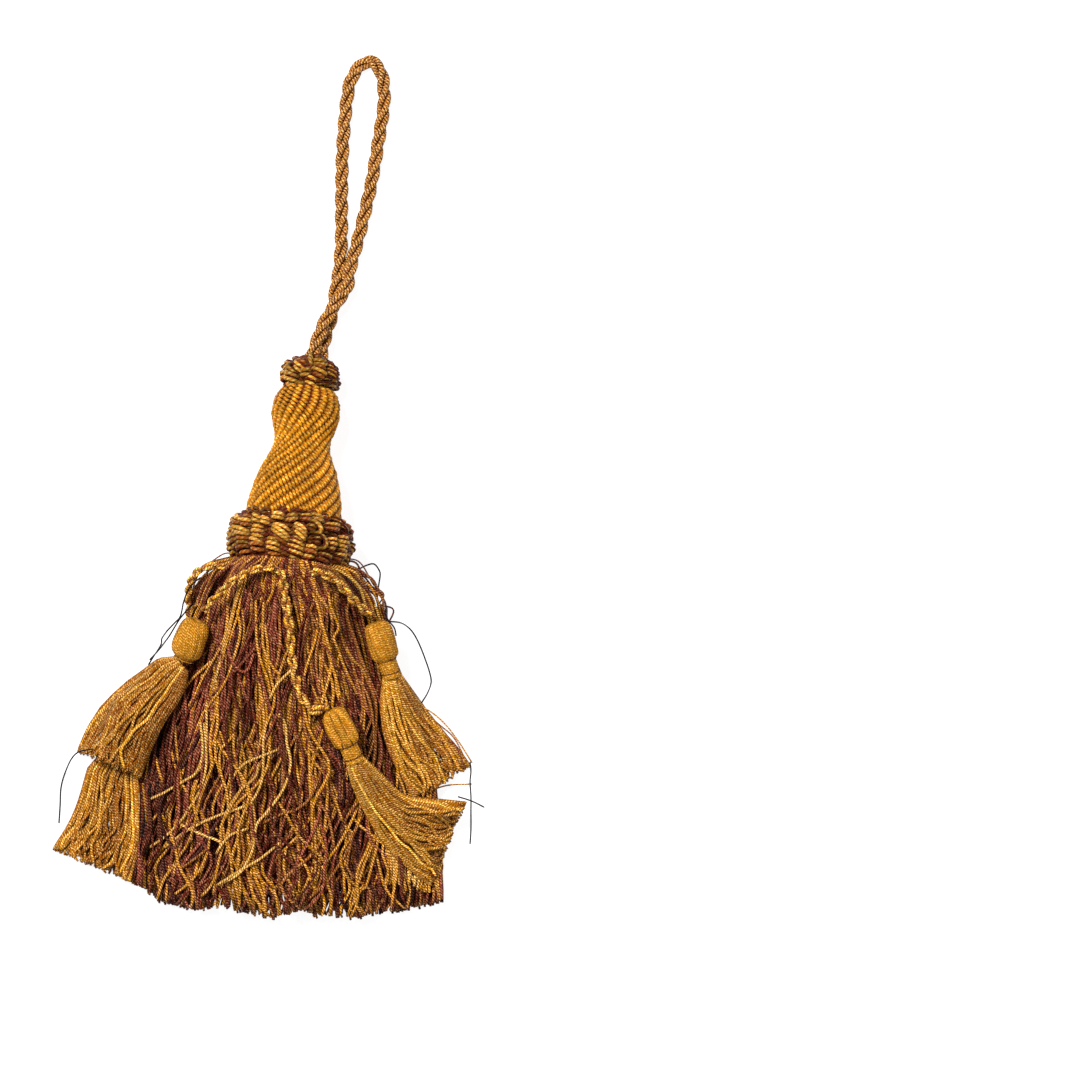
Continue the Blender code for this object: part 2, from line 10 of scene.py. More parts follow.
import logging
import math
from dataclasses import dataclass
from enum import Enum
from functools import partial
from typing import Any, Iterator, NamedTuple, Sequence

import bmesh
import bpy
import numpy as np
from bmesh.types import BMesh, BMVert
from bpy.types import ID, Material, Mesh, Node, NodeSocket, NodeTree, Object
from mathutils import Matrix, Vector


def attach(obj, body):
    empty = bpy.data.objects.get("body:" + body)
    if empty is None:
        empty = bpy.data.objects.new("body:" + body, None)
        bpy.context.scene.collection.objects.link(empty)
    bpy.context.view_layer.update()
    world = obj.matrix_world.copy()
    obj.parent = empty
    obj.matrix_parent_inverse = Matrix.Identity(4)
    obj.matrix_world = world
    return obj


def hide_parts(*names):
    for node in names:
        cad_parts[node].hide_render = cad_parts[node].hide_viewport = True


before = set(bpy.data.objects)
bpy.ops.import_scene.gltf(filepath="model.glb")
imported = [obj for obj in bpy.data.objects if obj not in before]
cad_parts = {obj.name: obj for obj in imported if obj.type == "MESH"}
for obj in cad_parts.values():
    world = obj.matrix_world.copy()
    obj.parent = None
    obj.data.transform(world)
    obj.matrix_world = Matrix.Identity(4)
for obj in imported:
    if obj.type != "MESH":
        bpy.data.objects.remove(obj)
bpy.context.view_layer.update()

Array = np.ndarray
Draws = np.random.Generator

LOG = logging.getLogger("tassel")
MM = 0.001
FULL_TURN = 2.0 * math.pi
BODY = "root"
UP = np.array([0.0, 0.0, 1.0])
YARN_UV = "yarn"
# The colour attribute of every yarn: its dye, with any painted shade multiplied in.
DYE_AND_SHADE_ATTRIBUTE = "dye"
# How far a small tassel or its cord stands off what it lies on.
LYING_GAP = 0.7
# Distance between two points of a yarn that is laid on the heap.
LAID_STEP = 0.9


def table(kind: type, *values: Sequence[Any]) -> tuple[Any, ...]:
    """A table of sizes: each group of values under the column names of its kind of row."""
    return tuple(kind(*row) for row in values)


def clamped(values: Array) -> Array:
    """The values, none of them under 0 or over 1."""
    return np.clip(values, 0.0, 1.0)


# ---- Dyes and finishes ----


class Dye(Enum):
    """What the yarns are dyed, as sRGB hex values."""

    GOLD = "#A46E04"
    PALE_GOLD = "#C28E16"
    CREAM_GOLD = "#B48A3C"
    STRAW = "#A47F28"
    HEAD_GOLD = "#9A6C10"
    SAND = "#A67E44"
    ORANGE_GOLD = "#96540C"
    OLD_GOLD = "#884E04"
    TAN = "#7C4816"
    BROWN = "#4C260E"
    ROSE = "#743224"
    BURGUNDY = "#521810"
    PLUM = "#38161A"
    INK = "#141014"

    @property
    def light(self) -> Array:
        """The dye in linear light."""
        return linear(self.value)


def linear(hex_colour: str) -> Array:
    """Turns an sRGB hex value to linear light.

    Args:
        hex_colour: "#RRGGBB".

    Returns:
        Three linear values from 0 to 1.
    """
    values = np.array([int(hex_colour[i : i + 2], 16) for i in (1, 3, 5)]) / 255.0
    return np.where(values <= 0.04045, values / 12.92, ((values + 0.055) / 1.055) ** 2.4)


def feed(tree: NodeTree, node: Node, values: dict[Any, Any], links: dict[Any, Any]) -> None:
    """Sets a node's constants and links its sockets, with the same arguments as add_node."""
    for key, value in values.items():
        node.inputs[key].default_value = value
    for key, source in links.items():
        socket = source if isinstance(source, NodeSocket) else source.outputs[0]
        tree.links.new(socket, node.inputs[key])


def add_node(
    tree: NodeTree,
    kind: str,
    settings: dict[str, Any] | str | None = None,
    values: dict[Any, Any] | None = None,
    links: dict[Any, Any] | None = None,
) -> Node:
    """Adds a shader node with its settings, socket values and links.

    Args:
        tree: The material's node tree.
        kind: The node's type, without what all shader nodes' types start with.
        settings: Properties of the node itself, or only its operation.
        values: Socket name or number to constant.
        links: Socket name or number to what feeds it: a socket, or a node's first output.

    Returns:
        The new node.
    """
    node = tree.nodes.new("ShaderNode" + kind)
    if isinstance(settings, str):
        settings = {"operation": settings}
    for name, value in (settings or {}).items():
        setattr(node, name, value)
    feed(tree, node, values or {}, links or {})
    return node


@dataclass(frozen=True)
class Finish:
    """A real material and how its surface was made, as nodes that feed one shader."""

    name: str

    def material(self) -> Material:
        """Builds the node material."""
        made = bpy.data.materials.new(self.name)
        made.use_nodes = True
        self.dress(made.node_tree, made.node_tree.nodes["Principled BSDF"])
        return made

    def dress(self, tree: NodeTree, shader: Node) -> None:
        """Adds the finish's nodes and feeds the shader."""
        raise NotImplementedError


@dataclass(frozen=True)
class RayonYarn(Finish):
    """Dyed viscose rayon, plied: a lustrous yarn whose plies catch the light one after another.

    The ply crests run as a screw round the yarn, on its own UV map: U counts turns round it and V is
    the distance along it in millimetres. The crests are painted lighter and the groove between two
    crests darker and warmer, painted light and shade in the base colour; the groove is also rougher.
    The glints are painted highlights added to the base colour. Flecks of fibre and glints are patches
    of which the scales say how many there are to a metre: about one a millimetre, where a real fibre
    is a tenth of that, so that they show.
    """

    crest_spacing: float = 1.05
    crest_height: float = 0.2 * MM
    # Painted shade and light: the grooves are painted darker and warmer, the crests lighter.
    groove_shade: float = 0.24
    crest_shade: float = 1.18
    # Painted highlights: the colour and strength of the glints added to the base colour; the colour is also
    # the specular tint.
    glint_and_specular_tint: str = "#FFCE9E"
    glint: float = 0.5
    glint_spread: float = 0.75
    plies: int = 2
    crest_sharpness: float = 1.5
    groove_shade_tint: tuple[float, float, float] = (1.5, 0.75, 0.2)
    crest_roughness: float = 0.34
    groove_roughness: float = 0.65
    fibre_scale: float = 700.0
    fibre_range: tuple[float, float] = (0.3, 0.7)
    fibre_depth: float = 0.18
    glint_scale: float = 1300.0
    glint_range: tuple[float, float] = (0.42, 0.62)
    glint_sharpness: float = 4.0
    brightest_red: float = 0.4
    specular: float = 0.08

    def dress(self, tree: NodeTree, shader: Node) -> None:
        """Paints light and shade on the plies, flecks them with fibre and adds painted glints, more of them
        on a dark dye.
        """
        add = partial(add_node, tree)
        place = add("UVMap", {"uv_map": YARN_UV})
        axes = add("SeparateXYZ", links={0: place})
        turn = add("Math", "MULTIPLY", {1: float(self.plies)}, {0: axes})
        screw = {0: axes.outputs["Y"], 2: turn}
        phase = add("Math", "MULTIPLY_ADD", {1: 1.0 / self.crest_spacing}, screw)
        cell = add("Math", "FRACT", links={0: phase})
        middle = add("Math", "SUBTRACT", {1: 0.5}, {0: cell})
        square = add("Math", "MULTIPLY", links={0: middle, 1: middle})
        crest = add("Math", "MULTIPLY_ADD", {1: -4.0, 2: 1.0}, {0: square})
        # Painted light and shade: the crests are painted lighter and the grooves darker and warmer.
        lobe = add("Math", "POWER", {1: self.crest_sharpness}, {0: crest})
        groove = self.groove_shade * np.array(self.groove_shade_tint)
        depth = {1: tuple(self.crest_shade - groove), 2: tuple(groove)}
        shade = add("VectorMath", "MULTIPLY_ADD", depth, {0: lobe})
        where = add("TexCoord").outputs["Object"]
        fibre = add("TexNoise", values={"Scale": self.fibre_scale, "Detail": 2.0}, links={"Vector": where})
        low, high = self.fibre_range
        flecks = {"From Min": low, "From Max": high}
        flecks |= {"To Min": 1.0 - self.fibre_depth, "To Max": 1.0 + self.fibre_depth}
        fleck = add("MapRange", values=flecks, links={"Value": fibre})
        both = add("VectorMath", "SCALE", links={0: shade, "Scale": fleck})
        # Each yarn's dye, carrying the painted shade laid on it when the yarns were built.
        dye = add("Attribute", {"attribute_name": DYE_AND_SHADE_ATTRIBUTE})
        body = add("VectorMath", "MULTIPLY", links={0: dye, 1: both})
        # Painted highlights: glints added to the base colour at the crests, in scattered patches.
        ridge = add("Math", "POWER", {1: self.glint_sharpness}, {0: crest})
        patches = add("TexNoise", values={"Scale": self.glint_scale, "Detail": 1.0}, links={"Vector": where})
        low, high = self.glint_range
        glints = {"From Min": low, "From Max": high, "To Min": 0.0, "To Max": self.glint}
        sparkle = add("MapRange", values=glints, links={"Value": patches})
        spots = add("Math", "MULTIPLY", links={0: ridge, 1: sparkle})
        red = add("SeparateXYZ", links={0: dye})
        share = add("Math", "DIVIDE", {1: self.brightest_red}, {0: red})
        bright = add("Math", "POWER", {1: self.glint_spread}, {0: share})
        glint = add("Math", "MULTIPLY", links={0: spots, 1: bright})
        glint_and_specular_tint = {0: tuple(linear(self.glint_and_specular_tint))}
        colour = add("VectorMath", "MULTIPLY_ADD", glint_and_specular_tint, {1: glint, 2: body})
        roughness = {"To Min": self.groove_roughness, "To Max": self.crest_roughness}
        rough = add("MapRange", values=roughness, links={"Value": crest})
        bump = add("Bump", values={"Strength": 1.0, "Distance": self.crest_height}, links={"Height": crest})
        gloss = {"Specular IOR Level": self.specular, "Specular Tint": (*linear(self.glint_and_specular_tint), 1.0)}
        feed(tree, shader, gloss, {"Base Color": colour, "Roughness": rough, "Normal": bump})


@dataclass(frozen=True)
class PackedYarn(Finish):
    """The dense inside of a heap of yarn: matt, dark and streaked, seen only between loose yarns. Its
    colours are yarn colours kept dark as painted shade for the deep gaps it fills.

    The streaks are 2.4 mm wide, two yarns together, and run along Y, where they are far longer.
    """

    dark: str
    light: str
    streak_scale: float = 420.0
    streak_stretch: float = 0.08
    streak_edges: tuple[float, float] = (0.4, 0.66)
    relief: float = 0.5 * MM
    roughness: float = 0.8
    specular: float = 0.08

    def dress(self, tree: NodeTree, shader: Node) -> None:
        """Streaks the two colours along the tassel."""
        add = partial(add_node, tree)
        where = add("TexCoord").outputs["Object"]
        stretch = add("Mapping", values={"Scale": (1.0, self.streak_stretch, 1.0)}, links={"Vector": where})
        noise = {"Scale": self.streak_scale, "Detail": 3.0}
        streak = add("TexNoise", values=noise, links={"Vector": stretch})
        ramp = add("ValToRGB", links={"Fac": streak})
        for step, hue in enumerate((self.dark, self.light)):
            ramp.color_ramp.elements[step].position = self.streak_edges[step]
            ramp.color_ramp.elements[step].color = (*linear(hue), 1.0)
        bump = add("Bump", values={"Strength": 1.0, "Distance": self.relief}, links={"Height": streak})
        matt = {"Roughness": self.roughness, "Specular IOR Level": self.specular}
        feed(tree, shader, matt, {"Base Color": ramp, "Normal": bump})


@dataclass(frozen=True)
class LightBoard(Finish):
    """An opal acrylic light board: it glows evenly, so that what lies on it hardly shades it."""

    name: str = "opal_acrylic_board"
    colour: str = "#8C8C8C"
    glow: float = 0.86
    grain_scale: float = 900.0

    def dress(self, tree: NodeTree, shader: Node) -> None:
        """Makes the board white, matt and glowing, with a grain of about a millimetre."""
        add = partial(add_node, tree)
        where = add("TexCoord").outputs["Object"]
        grain = add("TexNoise", values={"Scale": self.grain_scale}, links={"Vector": where})
        bump = add("Bump", values={"Strength": 0.1, "Distance": 0.02 * MM}, links={"Height": grain})
        board = {
            "Base Color": (*linear(self.colour), 1.0),
            "Emission Color": (1.0, 1.0, 1.0, 1.0),
            "Emission Strength": self.glow,
            "Roughness": 0.9,
        }
        feed(tree, shader, board, {"Normal": bump})


# ---- Curves and joined yarns ----


def smooth_curve(points: Sequence[Sequence[float]], spacing: float, samples: int = 24) -> Array:
    """Points at an even spacing along the smooth curve through the given ones (Catmull-Rom).

    Args:
        points: The points that the curve goes through.
        spacing: The distance between two points of the result.
        samples: How many points are tried between two given ones.

    Returns:
        The points, in rows.
    """
    knots = np.array(points, float)
    padded = np.vstack([2.0 * knots[0] - knots[1], knots, 2.0 * knots[-1] - knots[-2]])
    fine = []
    for i in range(len(knots) - 1):
        p0, p1, p2, p3 = padded[i : i + 4]
        for t in np.linspace(0.0, 1.0, samples, endpoint=False):
            bend = 2.0 * p0 - 5.0 * p1 + 4.0 * p2 - p3
            twist = 3.0 * p1 - p0 - 3.0 * p2 + p3
            fine.append(0.5 * (2.0 * p1 + (p2 - p0) * t + bend * t**2 + twist * t**3))
    fine.append(knots[-1])
    line = np.array(fine)
    lengths = run_lengths(line[None])[0]
    at = np.linspace(0.0, lengths[-1], max(3, round(lengths[-1] / spacing) + 1))
    return np.column_stack([np.interp(at, lengths, line[:, axis]) for axis in range(knots.shape[1])])


def unit(vectors: Array) -> Array:
    """The vectors at length 1."""
    return vectors / np.maximum(np.linalg.norm(vectors, axis=-1, keepdims=True), 1e-12)


def run_lengths(paths: Array) -> Array:
    """Distance along each path, [yarn, point]."""
    steps = np.linalg.norm(np.diff(paths, axis=1), axis=2)
    return np.concatenate([np.zeros((len(paths), 1)), np.cumsum(steps, axis=1)], axis=1)


def steady_frames(paths: Array) -> tuple[Array, Array]:
    """Two directions across each path that turn as little as the path allows.

    Args:
        paths: [yarn, point, 3].

    Returns:
        (side, rise), each of the paths' shape. side, rise and the path's direction are right-handed.
    """
    along = unit(np.gradient(paths, axis=1))
    side = np.empty_like(paths)
    start = np.cross(along[:, 0], UP)
    flat = np.linalg.norm(start, axis=1, keepdims=True) < 0.05
    side[:, 0] = unit(np.where(flat, np.cross(along[:, 0], [1.0, 0.0, 0.0]), start))
    for i in range(1, paths.shape[1]):
        carried = side[:, i - 1] - along[:, i] * np.sum(side[:, i - 1] * along[:, i], axis=1, keepdims=True)
        side[:, i] = unit(carried)
    return side, np.cross(along, side)


def twisted(paths: Array, offset: float, lay: float, phase: float) -> Array:
    """Plies laid round each path as a screw.

    Args:
        paths: [yarn, point, 3].
        offset: Distance of the ply's middle from the path, in millimetres.
        lay: Length of one whole turn, in millimetres; below zero it turns the other way.
        phase: Where the ply starts, in radians.

    Returns:
        The plies' own paths, of the same shape.
    """
    side, rise = steady_frames(paths)
    angle = (FULL_TURN / (lay * MM) * run_lengths(paths) + phase)[..., None]
    return paths + offset * MM * (np.cos(angle) * side + np.sin(angle) * rise)


def over_surface(path: Array, radius: float) -> Array:
    """The path, raised where a yarn of that radius in metres would go into the surface."""
    raised = path.copy()
    raised[..., 2] = np.maximum(path[..., 2], radius)
    return raised


class RodTemplate(NamedTuple):
    """A closed straight rod cut into rings, which every yarn of a batch copies."""

    ring: Array
    angle: Array
    corners: Array
    starts: Array
    turn: Array


def rod_template(sides: int, rings: int) -> RodTemplate:
    """Makes the rod that a batch of yarns copies.

    Args:
        sides: How many sides it has.
        rings: How many rings of points it has from end to end.

    Returns:
        Its points as ring numbers and angles, and its faces.
    """
    bm = bmesh.new()
    bmesh.ops.create_cone(bm, cap_ends=True, segments=sides, radius1=1.0, radius2=1.0, depth=2.0)
    runs = [edge for edge in bm.edges if abs(edge.verts[0].co.z - edge.verts[1].co.z) > 1.0]
    bmesh.ops.subdivide_edges(bm, edges=runs, cuts=rings - 2)
    bmesh.ops.recalc_face_normals(bm, faces=bm.faces)
    bm.verts.index_update()
    places = np.array([vert.co for vert in bm.verts])
    ring = np.rint((places[:, 2] + 1.0) / 2.0 * (rings - 1)).astype(int)
    angle = np.arctan2(places[:, 1], places[:, 0])
    corners: list[int] = []
    starts: list[int] = []
    turn: list[float] = []
    for face in bm.faces:
        starts.append(len(corners))
        centre = face.calc_center_median()
        middle = math.atan2(centre.y, centre.x)
        for vert in face.verts:
            corners.append(vert.index)
            own = angle[vert.index]
            turn.append((own + FULL_TURN * round((middle - own) / FULL_TURN)) / FULL_TURN)
    bm.free()
    return RodTemplate(ring, angle, np.array(corners), np.array(starts), np.array(turn))


def dyed(dye: Dye, count: int, rng: Draws, spread: float = 0.13) -> Array:
    """One dye on many yarns, each a little lighter or darker than the next, as [yarn, 3]."""
    return dye.light * np.clip(1.0 + spread * rng.normal(size=(count, 1)), 0.55, 1.6)


class JoinedYarns:
    """Copies a closed rod along many yarns and joins them into one mesh."""

    def __init__(self, sides: int = 5) -> None:
        """Starts with no yarn; every rod has that many sides."""
        self.sides = sides
        self.places: list[Array] = []
        self.colours: list[Array] = []
        self.corners: list[Array] = []
        self.starts: list[Array] = []
        self.maps: list[Array] = []
        self.point_count = 0
        self.corner_count = 0

    def add(self, paths: Array, radii: float | Array, colours: Array) -> None:
        """Adds a batch of yarns that all have the same number of points.

        Args:
            paths: [yarn, point, 3], metres.
            radii: One value, or [yarn, point].
            colours: Linear dye with any painted shade, [yarn, 3] or [yarn, point, 3].
        """
        count, rings = paths.shape[:2]
        rod = rod_template(self.sides, rings)
        side, rise = steady_frames(paths)
        widths = np.broadcast_to(np.asarray(radii, float), (count, rings))[:, rod.ring, None]
        cosine = np.cos(rod.angle)[None, :, None]
        sine = np.sin(rod.angle)[None, :, None]
        places = paths[:, rod.ring] + widths * (cosine * side[:, rod.ring] + sine * rise[:, rod.ring])
        dyes = colours if colours.ndim == 3 else np.repeat(colours[:, None], rings, axis=1)
        start = np.random.default_rng(self.point_count).uniform(0.0, 10.0, (count, 1))
        along = run_lengths(paths) / MM + start
        each = len(rod.ring)
        first = np.arange(count)[:, None]
        self.places.append(places.reshape(-1, 3))
        self.colours.append(dyes[:, rod.ring].reshape(-1, 3))
        self.corners.append((rod.corners[None] + first * each + self.point_count).reshape(-1))
        self.starts.append((rod.starts[None] + first * len(rod.corners) + self.corner_count).reshape(-1))
        across = np.broadcast_to(rod.turn[None], (count, len(rod.turn)))
        self.maps.append(np.stack([across, along[:, rod.ring[rod.corners]]], axis=2).reshape(-1, 2))
        self.point_count += count * each
        self.corner_count += count * len(rod.corners)

    def add_one(self, path: Array, radius: float, dye: Dye, rng: Draws, spread: float = 0.13) -> None:
        """Adds one yarn of one dye along [point, 3]."""
        self.add(path[None], radius, dyed(dye, 1, rng, spread))

    def mesh(self, name: str) -> Mesh:
        """Joins all the batches into one smooth mesh with its UV map and its dye with painted shade."""
        mesh = bpy.data.meshes.new(name)
        places = np.concatenate(self.places)
        corners = np.concatenate(self.corners)
        starts = np.concatenate(self.starts)
        mesh.vertices.add(len(places))
        mesh.vertices.foreach_set("co", places.ravel())
        mesh.loops.add(len(corners))
        mesh.loops.foreach_set("vertex_index", corners)
        mesh.polygons.add(len(starts))
        mesh.polygons.foreach_set("loop_start", starts)
        mesh.update(calc_edges=True)
        mesh.validate()
        mesh.shade_smooth()
        layer = mesh.uv_layers.new(name=YARN_UV)
        layer.uv.foreach_set("vector", np.concatenate(self.maps).ravel())
        dye = mesh.attributes.new(DYE_AND_SHADE_ATTRIBUTE, "FLOAT_COLOR", "POINT")
        colours = np.concatenate(self.colours)
        dye.data.foreach_set("color", np.column_stack([colours, np.ones(len(colours))]).ravel())
        return mesh


def cut_ends(count: int, rings: int, radius: float, rng: Draws, spread: float = 0.1) -> Array:
    """Radii of cut yarns: each a little different, and a little thinner where it is cut."""
    own = radius * (1.0 + spread * rng.uniform(-1.0, 1.0, (count, 1)))
    taper = np.ones(rings)
    taper[-1] = 0.72
    return own * taper


def shown(name: str, data: ID) -> Object:
    """A new object in the scene, at the origin."""
    made = bpy.data.objects.new(name, data)
    bpy.context.scene.collection.objects.link(made)
    return made


def publish(name: str, shape: Mesh | JoinedYarns, finish: Material, slot: str, *nodes: str) -> Object:
    """Puts a finished mesh in the scene, on the tassel's one body.

    Args:
        name: The piece's name.
        shape: Its mesh or its yarns, in place.
        finish: Its material.
        slot: Not used.
        nodes: The CAD nodes it stands for.

    Returns:
        The new object.
    """
    mesh = shape.mesh(name) if isinstance(shape, JoinedYarns) else shape
    mesh.materials.append(finish)
    piece = shown(name, mesh)
    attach(piece, BODY)
    if nodes:
        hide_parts(*nodes)
    LOG.info("%s: %d triangles", name, sum(len(face.vertices) - 2 for face in mesh.polygons))
    return piece


def declare_cord(line: Array, diameter: float) -> None:
    """Measures the length of a cord's middle line and keeps nothing of it.

    Args:
        line: Its middle line, [point, 3], in metres.
        diameter: Not used.
    """
    float(run_lengths(line[None])[0, -1])


def closed_mesh(name: str, bm: BMesh) -> Mesh:
    """Closes the ends of a tube, points its faces outwards and makes it a smooth mesh."""
    bmesh.ops.holes_fill(bm, edges=[edge for edge in bm.edges if edge.is_boundary], sides=0)
    bmesh.ops.recalc_face_normals(bm, faces=bm.faces)
    if bm.calc_volume(signed=True) < 0.0:
        bmesh.ops.reverse_faces(bm, faces=bm.faces)
    mesh = bpy.data.meshes.new(name)
    bm.to_mesh(mesh)
    bm.free()
    mesh.shade_smooth()
    return mesh


# ---- The tassel's axis, its loop and its head ----


class Turn(NamedTuple):
    """A point of a turned profile: distance down the axis and radius."""

    station: float
    radius: float


class RoutePoint(NamedTuple):
    """A point of a cord's route."""

    x: float
    y: float
    z: float


class PlanPoint(NamedTuple):
    """A point seen from above."""

    x: float
    y: float


def line_frame(origin: Vector, down: Vector) -> Matrix:
    """A frame at the origin whose Z runs down a line and whose Y rises from the surface."""
    across = down.cross(Vector(UP)).normalized()
    placed = Matrix((across, across.cross(down), down)).transposed().to_4x4()
    placed.translation = origin
    return placed


def round_axis(radius: Array, angle: Array, station: Array) -> Array:
    """Points round a frame's Z, in metres, from radii and stations in millimetres and angles in radians."""
    return np.stack([radius * np.cos(angle), radius * np.sin(angle), station], axis=-1) * MM


def moved(placed: Matrix, local: Array) -> Array:
    """Takes points from a frame to the part's."""
    matrix = np.array(placed)
    return local @ matrix[:3, :3].T + matrix[:3, 3]


@dataclass(frozen=True)
class BodyAxis:
    """The line that the head and both ruffs are turned about."""

    crown: tuple[float, float, float] = (16.0, 91.9, 11.0)
    collar: tuple[float, float, float] = (9.3, 33.0, 21.9)
    crown_half_height: float = 6.15

    def matrix(self) -> Matrix:
        """The axis's own frame: Z runs down it from the crown's top, Y rises from the surface."""
        crown = Vector(self.crown) * MM
        down = (Vector(self.collar) * MM - crown).normalized()
        return line_frame(crown - down * self.crown_half_height * MM, down)


def turned_mesh(name: str, turns: Sequence[Turn], inset: float, axis: Matrix, segments: int = 48) -> Mesh:
    """Spins a profile a full turn and closes its ends.

    Args:
        name: The mesh's name.
        turns: The profile.
        inset: How far inside the profile the surface lies, in millimetres.
        axis: The frame whose Z the profile turns about.
        segments: Steps round the axis.

    Returns:
        The closed mesh, in place.
    """
    bm = bmesh.new()
    profile = [bm.verts.new((max(t.radius - inset, 0.0) * MM, 0.0, t.station * MM)) for t in turns]
    edges = [bm.edges.new(pair) for pair in zip(profile, profile[1:])]
    bmesh.ops.spin(
        bm,
        geom=profile + edges,
        axis=(0.0, 0.0, 1.0),
        cent=(0.0, 0.0, 0.0),
        angle=FULL_TURN,
        steps=segments,
        use_merge=True,
    )
    bmesh.ops.remove_doubles(bm, verts=bm.verts, dist=0.01 * MM)
    bmesh.ops.transform(bm, matrix=axis, verts=bm.verts)
    for vert in bm.verts:
        vert.co.z = max(vert.co.z, 0.3 * MM)
    return closed_mesh(name, bm)


@dataclass
class HangingLoop:
    """The hanging loop: a cord of three fat plies, each twisted the other way from six fine yarns."""

    route: tuple[RoutePoint, ...] = table(
        RoutePoint,
        (15, 93.6, 10.9), (17, 98.9, 10.3), (18.9, 104.6, 9.9), (21.2, 110, 8.8), (24.7, 115.8, 7.3),
        (28.6, 121.5, 5.7), (29.7, 128, 4), (33.7, 143.2, 2.5), (37.2, 158.6, 2.5), (39.8, 174, 2.5),
        (41.4, 184.5, 2.5), (41.5, 191.5, 2.5), (40.2, 197.6, 2.4), (36.4, 200.9, 2.4), (31.8, 197.6, 2.4),
        (29, 190.5, 2.4), (27.2, 172.6, 2.4), (26.7, 155.1, 2.4), (26.6, 138.2, 2.4), (25.8, 127.5, 2.4),
        (24.6, 121, 2.4), (24, 115.3, 2.5), (22.8, 110, 3.6), (21.2, 104.6, 5.3), (19.9, 98.7, 6.8),
        (19.6, 93.8, 8),
    )
    diameter: float = 4.8
    ply_lay: float = 20.0
    ply_offset: float = 1.38
    yarn_lay: float = -3.6
    yarn_offset: float = 0.72
    yarn_radius: float = 0.4
    ply_phase: float = 1.3
    # Painted shade: how dark the yarns are painted in the valleys between the plies, warmer there.
    valley_shade: tuple[float, float, float] = (0.95, 0.68, 0.36)
    dyes: tuple[tuple[Dye, ...], ...] = (
        (Dye.CREAM_GOLD, Dye.BROWN, Dye.CREAM_GOLD, Dye.TAN, Dye.SAND, Dye.TAN),
        (Dye.SAND, Dye.BROWN, Dye.CREAM_GOLD, Dye.TAN, Dye.SAND, Dye.BROWN),
        (Dye.CREAM_GOLD, Dye.TAN, Dye.SAND, Dye.BROWN, Dye.SAND, Dye.TAN),
    )
    point_spacing: float = 0.4

    def build(self, finish: Material) -> None:
        line = smooth_curve(np.array(self.route) * MM, self.point_spacing * MM)
        rng = np.random.default_rng(11)
        yarns = JoinedYarns()
        for ply, dyes in enumerate(self.dyes):
            laid = twisted(line[None], self.ply_offset, self.ply_lay, FULL_TURN * ply / len(self.dyes))
            for yarn, dye in enumerate(dyes):
                phase = FULL_TURN * yarn / len(dyes) + self.ply_phase * ply
                path = twisted(laid, self.yarn_offset, self.yarn_lay, phase)
                # Painted shade: each yarn is painted darker where it dips towards the cord's middle, between
                # the plies.
                out = np.linalg.norm(path - line, axis=2, keepdims=True) / MM
                crest = clamped((out - self.ply_offset * 0.8) / (0.5 * self.ply_offset))
                shade = np.array(self.valley_shade) * (1.0 - crest) + crest
                path = over_surface(path, self.yarn_radius * MM)
                yarns.add(path, self.yarn_radius * MM, dyed(dye, 1, rng)[:, None] * shade)
        piece = publish("hanging_loop", yarns, finish, "mixed_cord", "loop_cord")
        declare_cord(line, self.diameter)


class Slant(NamedTuple):
    """How far the head's ribs lean from the axis at a station."""

    station: float
    degrees: float


class Stain(NamedTuple):
    """A place on the head where burgundy shows between the ribs: its middle, its reach and its strength."""

    degrees: float
    station: float
    reach_round: float
    reach_down: float
    strength: float


